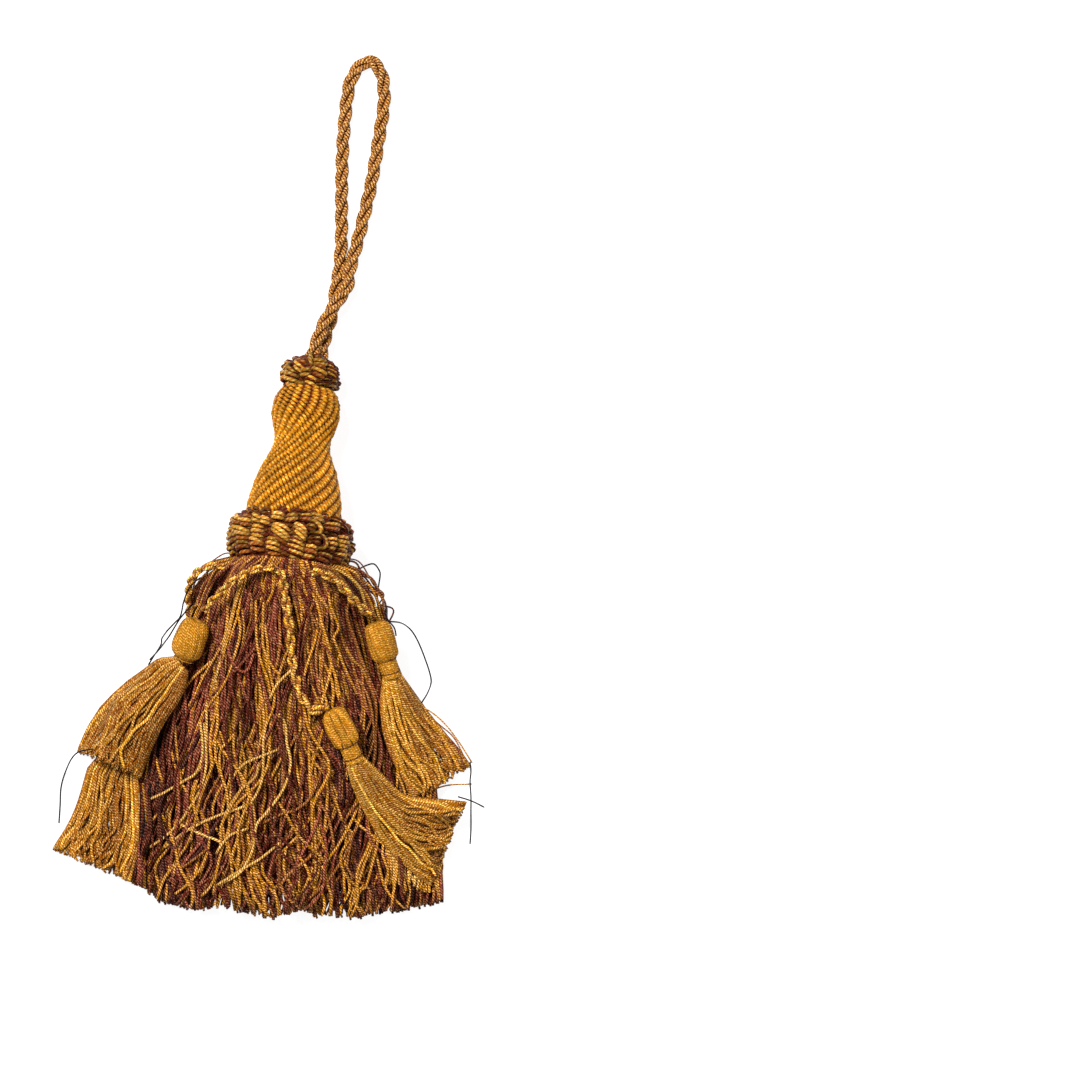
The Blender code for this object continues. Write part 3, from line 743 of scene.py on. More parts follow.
@dataclass
class Head:
    """The covered head: twenty spiral ribs side by side, each of them wrapped in gold thread."""

    turns: tuple[Turn, ...] = table(
        Turn,
        (12.6, 9.2), (14.2, 10.5), (17, 11.8), (21.7, 12.3), (25.8, 11.3), (29, 10.2), (32.3, 10),
        (35.1, 10.6), (41.2, 13.3), (47.1, 15.3), (52, 16.3), (56.9, 16.9), (60.6, 17.3),
    )
    slants: tuple[Slant, ...] = table(
        Slant,
        (12.6, 2), (16, 8), (19, 17), (22, 28), (25, 37), (30, 42), (46, 47), (61, 53),
    )
    stains: tuple[Stain, ...] = table(Stain, (93.0, 15.0, 34.0, 7.0, 1.6), (126.0, 46.0, 34.0, 13.0, 0.7))
    ribs: int = 20
    rib_rise: float = 1.5
    rib_unevenness: tuple[float, float] = (0.85, 1.2)
    thread_radius: float = 0.63
    thread_pitch: float = 1.36
    thread_looseness: float = 0.09
    wrap_skew: float = 0.45
    wrap_reach: float = 84.0
    wrap_points: int = 9
    mould_inset: float = 2.2
    # Painted light and shade across each rib: the crest is painted lighter, a painted highlight, and the
    # flanks and the valley darker, painted shade. The burgundy is thread that shows between the ribs.
    crest_shade: float = 0.95
    flank_shade: float = 0.62
    valley_shade: float = 0.46
    stain_shade: float = 1.2

    def build(self, axis: BodyAxis, thread: Material, mould: Material) -> None:
        """Lays wrap after wrap across every rib, with the mould under them."""
        profile = np.array(self.turns).T
        fine = np.linspace(self.turns[0].station, self.turns[-1].station, 1200)
        slope = np.radians(np.interp(fine, *np.array(self.slants).T))
        steps = np.diff(fine) / np.cos((slope[1:] + slope[:-1]) / 2.0)
        run = np.concatenate([[0.0], np.cumsum(steps)])
        swing = np.radians(np.linspace(-self.wrap_reach, self.wrap_reach, self.wrap_points))[None]
        off_crest = np.abs(np.degrees(swing)) / self.wrap_reach
        rng = np.random.default_rng(5)
        yarns = JoinedYarns()
        for rib in range(self.ribs):
            rise = self.rib_rise * rng.uniform(*self.rib_unevenness)
            at = np.arange(rng.uniform(0.2, 1.2), run[-1] - 0.4, self.thread_pitch)
            station = np.interp(at, run, fine)[:, None]
            slant = np.interp(station, fine, slope)
            radius = np.interp(station, *profile)
            across = math.pi * radius * np.cos(slant) / self.ribs * np.sin(swing)
            along = self.wrap_skew * np.sin(swing)
            turned = FULL_TURN * rib / self.ribs - self.lean(station)
            angle = turned + (across * np.cos(slant) - along * np.sin(slant)) / radius
            down = station + across * np.sin(slant) + along * np.cos(slant)
            out = np.interp(down, *profile) - self.thread_radius
            out = out - rise * (1.0 - np.cos(swing)) + rng.normal(0.0, self.thread_looseness, (len(at), 1))
            path = over_surface(moved(axis.matrix(), round_axis(out, angle, down)), self.thread_radius * MM)
            tone = (1.0 + 0.1 * rng.normal()) * (1.0 + 0.14 * rng.normal(size=(len(at), 1)))
            tone = tone * (1.0 + 0.12 * np.sin(at / rng.uniform(3.0, 6.0) + rng.uniform(0.0, 6.3))[:, None])
            dyes = self.colours(angle % FULL_TURN, down, off_crest, tone)
            yarns.add(path, self.thread_radius * MM, dyes)
        publish("head_covering", yarns, thread, "gold_covering", "head")
        mesh = turned_mesh("head_mould", self.turns, self.mould_inset, axis.matrix())
        publish("head_mould", mesh, mould, "gold_covering")

    def lean(self, stations: Array) -> Array:
        """Angle that a rib has turned through on its way down to each station, in radians."""
        fine = np.linspace(self.turns[0].station, self.turns[-1].station, 400)
        slant = np.interp(fine, *np.array(self.slants).T)
        rate = np.tan(np.radians(slant)) / np.interp(fine, *np.array(self.turns).T)
        turned = np.concatenate([[0.0], np.cumsum((rate[1:] + rate[:-1]) / 2.0 * np.diff(fine))])
        return np.interp(stations, fine, turned)

    def colours(self, angle: Array, station: Array, off_crest: Array, tone: Array) -> Array:
        """Colour along each wrap: the gold thread painted lightest on the rib's crest, a painted highlight,
        and darker down its flanks and in the valley beside it, painted shade; burgundy where burgundy
        thread shows.

        Args:
            angle: Round the axis, in radians.
            station: Down the axis, in millimetres.
            off_crest: How far down the rib's side, from 0 to 1.
            tone: How light each wrap is.

        Returns:
            [wrap, point, 3], linear.
        """
        degrees = np.degrees(angle)
        red = 0.0
        for stain in self.stains:
            aside = ((degrees - stain.degrees) / stain.reach_round) ** 2
            red = red + stain.strength * np.exp(-aside - ((station - stain.station) / stain.reach_down) ** 2)
        red = clamped(red)
        # Painted shade in the valley and down the flanks, painted highlight on the crest.
        valley = clamped((off_crest - (0.46 - 0.15 * red)) / 0.25)[..., None]
        flank = clamped((off_crest - 0.06) / 0.36)[..., None]
        crest = Dye.PALE_GOLD.light * self.crest_shade
        gold = (crest * (1.0 - flank) + Dye.GOLD.light * self.flank_shade * flank) * tone[..., None]
        shaded_valley = Dye.ORANGE_GOLD.light * self.valley_shade
        between = shaded_valley * (1.0 - red[..., None]) + Dye.BURGUNDY.light * self.stain_shade * red[..., None]
        return gold * (1.0 - valley) + between * valley


class Bundle(NamedTuple):
    """A bundle of cord on a ruff: its middle, its slope, its width, its cords and how bright they are."""

    degrees: float
    station: float
    slope: float
    width: float
    cords: int
    shade: float


class Curl(NamedTuple):
    """A single cord curled in a ring on a ruff: its middle and its radius."""

    degrees: float
    station: float
    radius: float


@dataclass
class Ruff:
    """A ring of bundles of gold and burgundy cord, each cord bulging out and tucked in at both ends."""

    name: str
    turns: tuple[Turn, ...]
    core: tuple[Turn, ...]
    rows: tuple[float, ...]
    filling_rows: tuple[float, ...]
    around: int
    seed: int
    front: tuple[Bundle, ...]
    front_limits: tuple[float, float]
    curls: tuple[Curl, ...] = ()
    width: float = 7.4
    cords: int = 3
    tone: float = 0.94
    cord_pitch: float = 1.62
    gold_radius: float = 0.7
    gold_offset: float = 0.24
    gold_dyes: tuple[Dye, ...] = (Dye.STRAW, Dye.STRAW, Dye.CREAM_GOLD, Dye.TAN)
    red_radius: float = 0.44
    red_offset: float = 0.52
    ply_lay: float = 24.0
    points: int = 15
    swing: tuple[float, float] = (-24.0, 204.0)
    gathered: float = 0.4
    bulge: float = 3.6
    end_narrowing: float = 0.14
    sinking: float = 0.35
    # Painted shade and highlight: each cord is painted darker towards its tucked ends and lightest where it
    # bulges out.
    end_shade: float = 0.2
    curl_swing: tuple[float, float] = (-2.6, 1.6)
    curl_tuck: float = 2.4
    curl_shade: float = 0.9
    filling_depth: float = 1.5
    # Painted shade: the filling cords are painted darker for lying deep between the bundles.
    filling_shade: float = 0.42

    def bundles(self, rng: Draws) -> list[Bundle]:
        """Where the bundles are: the front ones placed, the others in rows that are half a bundle apart."""
        start, end = self.front_limits
        drawn = self.rows_of_bundles(self.rows, rng)
        return list(self.front) + [bundle for bundle in drawn if not start < bundle.degrees < end]

    def rows_of_bundles(self, rows: Sequence[float], rng: Draws) -> list[Bundle]:
        """Rows of bundles all the way round, none of them quite even."""
        found = []
        for row, station in enumerate(rows):
            for step in range(self.around):
                degrees = (step + 0.5 * (row % 2)) * 360.0 / self.around + rng.uniform(-2.0, 2.0)
                place = station + rng.uniform(-0.5, 0.5)
                slope = rng.normal(8.0, 9.0)
                width = self.width * rng.uniform(0.95, 1.15)
                cords = self.cords + int(rng.integers(0, 2))
                found.append(Bundle(degrees, place, slope, width, cords, rng.uniform(0.75, 1.05)))
        return found

    def arches(self, bundle: Bundle, rng: Draws) -> Array:
        """The middle lines of a bundle's cords, [cord, point, 3], in the axis's frame and metres."""
        cords = (np.arange(bundle.cords) - (bundle.cords - 1) / 2.0)[:, None]
        swing = np.radians(np.linspace(*self.swing, self.points))[None]
        station = bundle.station + cords * self.cord_pitch
        outer = np.interp(station, *np.array(self.turns).T) - self.gold_radius - self.gold_offset
        width = bundle.width * (1.0 - self.end_narrowing * (cords / max(bundle.cords / 2.0, 1.0)) ** 2)
        width = width * rng.uniform(0.92, 1.08, (bundle.cords, 1))
        rise = self.bulge * rng.uniform(0.85, 1.1, (bundle.cords, 1))
        aside = -0.5 * (width - 2.0 * self.gold_radius) * np.cos(swing)
        slope = np.radians(bundle.slope + rng.normal(0.0, 4.0, (bundle.cords, 1)))
        spread = 1.0 - self.gathered * (1.0 - np.maximum(np.sin(swing), 0.0))
        down = bundle.station + cords * self.cord_pitch * spread + aside * np.sin(slope)
        fullness = rng.uniform(0.0, 0.5) + self.sinking * cords**2
        out = outer - rise + rise * np.sin(swing) - fullness
        return round_axis(out, np.radians(bundle.degrees) + aside * np.cos(slope) / outer, down)

    def ring(self, curl: Curl) -> Array:
        """The middle line of a curled cord, [1, point, 3], in the axis's frame and metres."""
        swing = np.linspace(*self.curl_swing, 2 * self.points)
        station = curl.station + 0.7 * curl.radius * np.sin(swing) + 0.35 * curl.radius * np.cos(swing)
        tucked = np.linspace(-1.0, 1.0, len(swing)) ** 4
        out = np.interp(station, *np.array(self.turns).T) - 0.2 - self.curl_tuck * tucked
        return round_axis(out, np.radians(curl.degrees) + curl.radius * np.cos(swing) / out, station)[None]

    def build(self, axis: BodyAxis, cord: Material, core: Material) -> None:
        """Lays the bundles round the dark core, with a filling of deeper cords between them, and paints
        shade on the cords' tucked ends and on the filling.
        """
        rng = np.random.default_rng(self.seed)
        yarns = JoinedYarns()
        lines = [(self.arches(bundle, rng), bundle.shade) for bundle in self.bundles(rng)]
        lines += [(self.ring(curl), self.curl_shade) for curl in self.curls]
        for line, shade in lines:
            middle = moved(axis.matrix(), line)
            half = float(run_lengths(middle)[:, -1].mean()) / 2.0 / MM
            start = rng.normal(math.pi / 2.0 - FULL_TURN * half / self.ply_lay, 0.8)
            # Painted shade and highlight: lightest where the cord bulges out, painted darker towards its
            # tucked ends.
            outside = np.sin(np.linspace(0.0, math.pi, middle.shape[1]))[None, :, None]
            shading = self.tone * shade * (self.end_shade + (1.0 - self.end_shade) * outside**2.0)
            for phase, offset, radius, dyes in (
                (start, self.gold_offset, self.gold_radius, self.gold_dyes),
                (start + math.pi, self.red_offset, self.red_radius, (Dye.BURGUNDY,)),
            ):
                path = over_surface(twisted(middle, offset, self.ply_lay, phase), radius * MM)
                drawn = np.concatenate([dyed(dyes[int(rng.integers(len(dyes)))], 1, rng, 0.2) for _ in path])
                yarns.add(path, radius * MM, drawn[:, None] * shading)
        # The filling cords are painted darker: painted shade deep between the bundles.
        for bundle in self.rows_of_bundles(self.filling_rows, rng):
            line = self.arches(bundle, rng)[:, ::2]
            sunk = line - unit(line * np.array([1.0, 1.0, 0.0])) * self.filling_depth * MM
            for path in over_surface(moved(axis.matrix(), sunk), self.gold_radius * MM):
                dye = Dye.TAN if rng.random() < 0.5 else Dye.ROSE
                yarns.add(path[None], self.gold_radius * MM, dyed(dye, 1, rng, 0.16) * self.filling_shade)
        publish(self.name + "_cords", yarns, cord, "mixed_cord", self.name)
        mesh = turned_mesh(self.name + "_core", self.core, 0.0, axis.matrix())
        publish(self.name + "_core", mesh, core, "mixed_cord")


CROWN_RUFF = Ruff(
    name="crown_ruff",
    turns=table(Turn, (1.2, 6.2), (2.4, 8.9), (4.8, 11), (7.6, 12), (10.4, 11.4), (12.3, 9.2)),
    core=table(Turn, (1, 4), (2.4, 6.2), (4.8, 7.5), (7.6, 8), (10.4, 7.4), (12.2, 6)),
    rows=(3.8, 9.4),
    filling_rows=(3.0, 6.4, 9.8),
    around=10,
    seed=3,
    front=table(
        Bundle,
        (65, 5.6, 24, 8.3, 3, 1.05), (43.5, 7.6, 22, 8.6, 2, 0.6), (37.5, 10.6, 4, 9.2, 3, 0.85),
        (113.5, 3.1, -4, 8.3, 3, 0.8), (110.5, 7.4, 14, 7.6, 3, 0.95), (80, 8.6, -12, 5.4, 2, 0.6),
        (92.5, 11, 12, 6.5, 2, 1.35), (130.5, 10.8, -6, 8.1, 3, 0.42), (151, 5.8, 8, 8.2, 3, 0.85),
        (158, 10.6, -6, 8.1, 3, 0.6), (68, 11.9, 0, 5.4, 1, 0.45), (88, 3.2, 60, 5.4, 2, 0.6),
    ),
    front_limits=(22.0, 168.0),
    tone=0.84,
    cord_pitch=1.7,
)

COLLAR_RUFF = Ruff(
    name="collar_ruff",
    turns=table(
        Turn,
        (57.2, 17.8), (58.6, 20.4), (62, 22.7), (64.6, 23.2), (67.6, 23.5), (70.6, 22.9), (73.4, 21.9),
        (75.8, 19.4),
    ),
    core=table(Turn, (59.2, 14), (60, 17), (62, 18.5), (67.6, 19), (73.4, 18.1), (75.6, 16.2)),
    rows=(61.4, 67.0, 72.6),
    filling_rows=(59.6, 63.9, 68.2, 72.5),
    around=19,
    seed=4,
    front=table(
        Bundle,
        (39, 63.3, 8, 7.1, 3, 0.9), (24, 63.9, 5, 8.2, 3, 0.95), (53, 62.9, 20, 5.4, 2, 1.05),
        (35.5, 68.2, 3, 8.5, 3, 1), (56, 67.4, 4, 6.7, 3, 1.15), (63.5, 63.6, 15, 5, 2, 1.1),
        (80, 67.8, 24, 9.5, 4, 1.05), (75, 62, 0, 6, 2, 1), (89.5, 62.2, -8, 6, 2, 0.85),
        (99.5, 66.6, 28, 7.1, 3, 1.05), (96, 72.3, 10, 9.1, 5, 1.1), (72.5, 72.6, 8, 6.9, 4, 1),
        (53.5, 72.2, 4, 7.8, 3, 1.1), (33, 73, -4, 9.1, 3, 0.85), (18, 69.4, -4, 9.1, 4, 0.8),
        (113.5, 73, 0, 6.5, 3, 1.25), (104, 61.4, -10, 6.5, 2, 0.85), (117, 60.9, 6, 6.5, 2, 0.7),
        (134, 62.9, -6, 10.8, 2, 0.95), (134, 68.9, -4, 7.3, 3, 1.05), (131, 74, 6, 9.1, 2, 0.8),
        (153, 61, 16, 9.7, 2, 0.75), (154, 66.4, -6, 10.4, 3, 1.1), (154, 71.4, -3, 10.5, 3, 1.05),
        (110, 65, 10, 4.3, 2, 0.4), (117, 69, 10, 4.3, 2, 0.45),
    ),
    front_limits=(12.0, 168.0),
    curls=table(Curl, (110.5, 64.6, 2.5), (117.0, 69.0, 2.7)),
)


# ---- The heap of yarn ----


class FanRow(NamedTuple):
    """One cross section of the heap: place, sides, heights of crest, edges and underside, angles and bow."""

    y: float
    left: float
    right: float
    crest: float
    edge: float
    belly: float
    tilt: float
    lean: float
    bow: float

    def aside(self, x: Array) -> Array:
        """How far x is from the middle, from -1 at the left side to 1 at the right."""
        return (x - (self.left + self.right) / 2.0) / ((self.right - self.left) / 2.0)


@dataclass(frozen=True)
class Heap:
    """The shape that the fringe lies in: round at its root and a low, steep-sided heap further down."""

    rows: tuple[FanRow, ...] = table(
        FanRow,
        (23.45, -10.3, 26.7, 42, 23.6, 5.1, 10.4, 6.5, 0), (19.5, -17, 32, 40.5, 15, 1.5, 9, 6, 0),
        (14.5, -21.5, 36.5, 38.5, 8.5, 0, 7, 4.5, 0), (8.4, -24.8, 39.6, 36, 5, 0, 4, 3, 0),
        (-5.6, -29.3, 43.8, 31.5, 3.5, 0, 1, 1, 1), (-23.2, -35.3, 50, 26.5, 3, 0, 0, 0, 2.5),
        (-40.7, -40.5, 55, 22.5, 2.8, 0, 0, 0, 4), (-58.2, -44, 59.5, 19, 2.6, 0, 0, 0, 6),
        (-75.8, -46, 61, 16, 2.4, 0, 0, 0, 8), (-89, -47, 61.5, 14, 2.2, 0, 0, 0, 9.5),
    )
    tooth: float = 10.5
    unevenness: float = 0.7
    round_top_power: float = 1.0
    settled_top_power: float = 2.4
    settled_bottom_power: float = 6.0
    least_thickness: float = 0.6

    def section(self, columns: Sequence[Array]) -> FanRow:
        """A cross section in metres and degrees, from its columns in millimetres and degrees."""
        return FanRow(*[value * MM for value in columns[:6]], columns[6], columns[7], columns[8] * MM)

    def at_y(self, y: Array) -> FanRow:
        """The cross section at y, in metres and degrees."""
        columns = np.array(self.rows[::-1]).T
        return self.section([np.interp(np.asarray(y) / MM, columns[0], column) for column in columns])

    def at_station(self, station: Array) -> FanRow:
        """The cross section part of the way down, counted in rows and going on past the last."""
        last = len(self.rows) - 1.0
        beyond = np.maximum(station - last, 0.0)
        found = []
        for column in np.array(self.rows).T:
            at = np.interp(station, np.arange(len(column)), column)
            found.append(at + beyond * (column[-1] - column[-2]))
        return self.section(found)

    def powers(self, row: FanRow) -> tuple[Array, Array]:
        """How round the section's top and bottom are: a circle at the root, a low heap further down."""
        first = self.rows[0].edge * MM
        last = self.rows[-1].edge * MM
        settled = clamped((first - row.edge) / (first - last))
        top = self.round_top_power + (self.settled_top_power - self.round_top_power) * settled
        return top, 1.0 + (self.settled_bottom_power - 1.0) * settled

    def top(self, x: Array, y: Array) -> Array:
        """Height of the heap's top over the surface, and 0 beside it."""
        rough = self.at_y(y)
        side = rough.aside(x)
        row = self.at_y(y - rough.bow * clamped(side * side))
        side = row.aside(x)
        inside = clamped(1.0 - side * side)
        rise = (row.crest - row.edge) * inside ** (self.powers(row)[0] / 2.0)
        height = row.edge + rise + self.unevenness * MM
        end = (self.rows[-1].y - self.tooth) * MM
        return np.where((np.abs(side) < 1.0) & (y > end), height, 0.0)

    def place(self, share: Array, station: Array, deep: Array) -> Array:
        """Points of the heap.

        Args:
            share: From -1 at the left side to 1 at the right.
            station: How far down, in rows.
            deep: Depth under the heap's top, in metres.

        Returns:
            The points, with a last axis of 3.
        """
        row = self.at_station(station)
        top_power, bottom_power = self.powers(row)
        share = np.clip(share, -1.0, 1.0)
        side = np.sin(share * math.pi / 2.0)
        rounded = np.maximum(np.cos(share * math.pi / 2.0), 0.0)
        top = row.edge + (row.crest - row.edge) * rounded**top_power
        low = row.belly + (row.edge - row.belly) * (1.0 - rounded) ** bottom_power
        height = np.maximum(top - deep, low + self.least_thickness * MM)
        tilt = np.radians(row.tilt)
        lean = np.radians(row.lean)
        offset = (row.right - row.left) / 2.0 * side
        x = (row.left + row.right) / 2.0 + offset * np.cos(lean)
        y = row.y + row.bow * side * side - offset * np.sin(lean) + (height - row.edge) * np.sin(tilt)
        return np.stack([x, y, height], axis=-1)


class Mound(NamedTuple):
    """A rounded heap on the bed: its place, its reach and the heights of its side and crown, in metres."""

    x: float
    y: float
    reach: float
    side: float
    crown: float


class Bed:
    """What a small tassel, a cord or a loose yarn can lie on: the surface, the heap, what was laid before."""

    def __init__(self, heap: Heap) -> None:
        """Starts with the surface and the heap."""
        self.heap = heap
        self.mounds: list[Mound] = []

    def height(self, x: Array, y: Array) -> Array:
        """Height of the bed over x, y."""
        found = self.heap.top(x, y)
        for mound in self.mounds:
            share = np.hypot(x - mound.x, y - mound.y) / mound.reach
            bulge = mound.side + (mound.crown - mound.side) * np.sqrt(clamped(1.0 - share * share))
            found = np.maximum(found, np.where(share < 1.0, bulge, 0.0))
        return found

    def rest_height(self, x: float, y: float, radius: float) -> float:
        """Height of the centre of the lowest ball of that radius over x, y that clears the bed."""
        reach = radius + LYING_GAP * MM
        steps = np.linspace(-1.0, 1.0, 25) * reach
        across, along = np.meshgrid(steps, steps)
        room = reach * reach - across * across - along * along
        ball = np.sqrt(np.maximum(room, 0.0))
        needed = np.where(room >= 0.0, self.height(x + across, y + along) + ball, 0.0)
        return float(needed.max())

    def lay(self, plan: Array, radius: float, lift: float = 0.0, rounds: int = 6) -> Array:
        """Drops a yarn on the bed along its plan.

        Args:
            plan: [point, 2], metres.
            radius: The yarn's radius, in metres.
            lift: How far over the bed it lies, in metres.
            rounds: How often its height is evened out.

        Returns:
            [point, 3].
        """
        needed = self.height(plan[:, 0], plan[:, 1]) + radius + lift
        height = needed.copy()
        for _ in range(rounds):
            spread = np.convolve(np.pad(height, 2, mode="edge"), np.ones(5) / 5.0, mode="valid")
            height = np.maximum(needed, spread)
        return np.column_stack([plan, height])


class Band(NamedTuple):
    """A stretch of the fringe by its root: from where, and how much of each dye it holds."""

    start: float
    gold: float
    tan: float
    rose: float
    burgundy: float
    plum: float


class Hollow(NamedTuple):
    """A pool of painted shade where the fringe's yarns part and lie dark: its middle, its reach both ways and
    its depth.
    """

    x: float
    y: float
    across: float
    along: float
    darkness: float


class Wave(NamedTuple):
    """A wave that every yarn strays in: how many of it to four rows of the heap, and how far it reaches."""

    count: float
    reach: float


class Lying(Enum):
    """Where a layer of the fringe lies."""

    UNDER = "under"
    TOP = "top"
    TANGLED = "tangled"


@dataclass(frozen=True)
class Layer:
    """A layer of the fringe: how many yarns, how deep, how much they stray, and how they are dyed.

    darker is how much more often the dark dyes come up, shade how light all the yarns are painted,
    shadow how much of the hollows' painted shade they take, and parted whether they are painted darker
    between two locks, as painted shade.
    """

    lying: Lying
    bands: tuple[Band, ...]
    count: int
    depth: tuple[float, float]
    straying: float
    darker: float
    shadow: float = 1.0
    shade: float = 1.0
    girth: float = 1.0
    unevenness: float = 0.16
    rings: int = 30
    tipped: bool = True
    parted: bool = False

    def draw(self, rng: Draws) -> tuple[Array, Array, Array]:
        """Draws where each yarn leaves the collar, how deep it lies and how far it ends before the hem.

        Args:
            rng: The source of draws.

        Returns:
            (share, deep, short): from -1 to 1, millimetres and millimetres.
        """
        count = self.count
        if self.lying is Lying.UNDER:
            share = rng.uniform(-1.0, 1.0, count)
        elif self.lying is Lying.TOP:
            share = 2.0 * ((np.arange(count) + rng.uniform(0.0, 1.0, count)) / count) - 1.0
        else:
            share = rng.uniform(-0.95, 0.95, count)
        deep = rng.uniform(*self.depth, count)
        if self.lying is Lying.UNDER:
            return share, deep, rng.uniform(-1.4, 2.0, count)
        if self.lying is Lying.TOP:
            return share, deep, np.abs(rng.normal(0.0, 1.6, count)) - 0.6
        return share, deep, rng.choice([0.0, 1.0], count, p=[0.55, 0.45]) * rng.uniform(3.0, 34.0, count)


FRINGE_BANDS = table(
    Band,
    (-1, 0.12, 0.15, 0.23, 0.35, 0.15), (-0.75, 0.35, 0.2, 0.15, 0.22, 0.08),
    (-0.62, 0.05, 0.1, 0.25, 0.4, 0.2), (-0.48, 0.25, 0.2, 0.17, 0.3, 0.08),
    (-0.4, 0.03, 0.07, 0.4, 0.38, 0.12), (-0.264, 0.16, 0.35, 0.2, 0.24, 0.05),
    (-0.216, 0.66, 0.14, 0.08, 0.12, 0), (-0.088, 0.3, 0.3, 0.15, 0.2, 0.05),
    (0.06, 0.66, 0.18, 0.04, 0.12, 0), (0.15, 0.3, 0.35, 0.15, 0.2, 0),
    (0.234, 0.03, 0.1, 0.15, 0.37, 0.35), (0.31, 0.2, 0.22, 0.2, 0.28, 0.1),
    (0.4, 0.05, 0.1, 0.26, 0.36, 0.23), (0.55, 0.14, 0.2, 0.19, 0.32, 0.15),
)
TANGLED_BANDS = table(
    Band,
    (-1, 0.18, 0.12, 0.25, 0.4, 0.05), (-0.2, 0.3, 0.2, 0.2, 0.3, 0), (0.35, 0.3, 0.3, 0.15, 0.25, 0),
)


@dataclass
class Fringe:
    """The fringe: a thousand cut two-ply yarns in a heap, straight at the root and tangled lower down."""

    heap: Heap
    layers: tuple[Layer, ...] = (
        # The under yarns are painted lighter than their dyes, painted light in the shade under the top yarns.
        Layer(Lying.UNDER, FRINGE_BANDS, 300, (2.2, 6.5), 0.8, 0.5, shade=1.25, unevenness=0.1),
        Layer(Lying.TOP, FRINGE_BANDS, 430, (0.2, 2.4), 0.9, 0.15, parted=True),
        Layer(
            Lying.TANGLED, TANGLED_BANDS, 230, (-1.2, 0.6), 2.1, 0.0, 0.7, girth=0.9, rings=40, tipped=False
        ),
    )
    hem: tuple[PlanPoint, ...] = table(
        PlanPoint,
        (-52, -83), (-46.5, -86.3), (-40.5, -90.5), (-37, -93.3), (-28.6, -95.1), (-24.4, -96.5),
        (-12.1, -95.4), (-8.6, -97.2), (2.6, -98.9), (13.5, -96.1), (18.1, -98.2), (30.4, -98.9),
        (41.6, -97.2), (54.2, -95.4), (60.2, -93.7), (66, -91),
    )
    # Pools of painted shade where the yarns part.
    hollows: tuple[Hollow, ...] = table(
        Hollow,
        (-38, -63, 5.5, 13, 0.75), (-34, -36, 4.5, 12, 0.6), (-18, -9, 4, 13, 0.55),
        (-7.5, -32, 3.2, 12, 0.7), (29, 3, 5, 13, 0.55), (39, -39, 5.5, 10, 0.7), (25, -68, 3.6, 10, 0.6),
        (2.6, -72, 3.6, 8, 0.5),
    )
    waves: tuple[Wave, ...] = table(Wave, (0.35, 2.6), (0.8, 1.7), (1.6, 0.8), (2.9, 0.35))
    palette: tuple[Dye, ...] = (Dye.GOLD, Dye.TAN, Dye.ROSE, Dye.BURGUNDY, Dye.PLUM)
    darkening: tuple[float, ...] = (0.0, 0.0, 1.0, 1.6, 3.0)
    yarn_radius: float = 0.58
    # How light the yarns are painted outside the hollows, and how much darker the top yarns are painted
    # between two locks, as painted shade.
    open_shade: float = 1.08
    parted_shade: float = 0.08
    tip_shades: tuple[float, float] = (0.35, 0.9)
    crowding: float = 0.92
    row_length: float = 13.2
    row_limits: tuple[float, float] = (3.0, 10.4)
    core_steps: int = 48
    core_rings: int = 24
    core_depth: float = 3.6

    def dyes(self, layer: Layer, share: Array, rng: Draws) -> Array:
        """Draws each yarn's dye from its place at the root, as [yarn, 3], linear."""
        starts = np.array([band.start for band in layer.bands])
        which = np.clip(np.searchsorted(starts, share, side="right") - 1, 0, len(starts) - 1)
        weights = np.array([band[1:] for band in layer.bands])[which]
        weights = weights * (1.0 + np.array(self.darkening) * layer.darker)
        limits = np.cumsum(weights / weights.sum(axis=1, keepdims=True), axis=1)
        drawn = (rng.random((len(share), 1)) > limits).sum(axis=1)
        colours = np.stack([dye.light for dye in self.palette])[np.clip(drawn, 0, 4)]
        return colours * np.clip(1.0 + 0.16 * rng.normal(size=(len(share), 1)), 0.5, 1.6)

    def tipped(self, colours: Array, rings: int, rng: Draws) -> Array:
        """Darkens the cut tips of half of the yarns: [yarn, 3] becomes [yarn, point, 3]."""
        shade = np.ones((len(colours), rings, 1))
        shade[:, -2:, 0] = np.where(rng.random((len(colours), 1)) < 0.5, *self.tip_shades)
        return colours[:, None] * shade

    def strays(self, stations: Array, count: int, rng: Draws, wild: float) -> Array:
        """How far each yarn strays sideways on its way down, in millimetres, [yarn, point]."""
        down = np.clip((stations - 0.4) / 5.0, 0.0, 1.3)
        found = np.zeros((count, stations.shape[1]))
        for wave in self.waves:
            rate = wave.count * rng.uniform(0.7, 1.3, (count, 1))
            phase = rng.uniform(0.0, FULL_TURN, (count, 1))
            found += wave.reach * np.sin(FULL_TURN * rate * stations / 4.0 + phase)
        return found * down * wild

    def locks(self, share: Array, stations: Array) -> Array:
        """Sideways drift that neighbouring yarns share, so that they gather into locks, in millimetres."""
        down = clamped((stations - 0.6) / 4.0)
        first = 3.0 * np.sin(11.0 * share + 0.9 * stations) * np.cos(0.7 * stations + 2.0 * share)
        second = 1.8 * np.sin(27.0 * share - 0.7 * stations + 1.1)
        return (first + second) * down

    def sinking(self, share: Array, stations: Array) -> Array:
        """How much deeper the yarns between two locks lie, in millimetres."""
        down = clamped((stations - 0.3) / 3.0)
        hollow = np.sin(23.0 * share + 0.6 * np.sin(1.3 * stations) + 0.4 * stations)
        finer = np.sin(41.0 * share - 1.1 * stations + 2.0)
        return (2.2 * clamped(hollow) + 1.1 * clamped(finer)) * down

    def hollowed(self, places: Array, share: float) -> Array:
        """How light each point of the yarns is painted, darker in the heap's hollows as painted shade, as
        [yarn, point, 1].
        """
        shade = np.full(places.shape[:2], self.open_shade)
        for hollow in self.hollows:
            across = (places[..., 0] / MM - hollow.x) / hollow.across
            along = (places[..., 1] / MM - hollow.y) / hollow.along
            shade *= 1.0 - share * hollow.darkness * np.exp(-(across**2) - along**2)
        return shade[..., None]

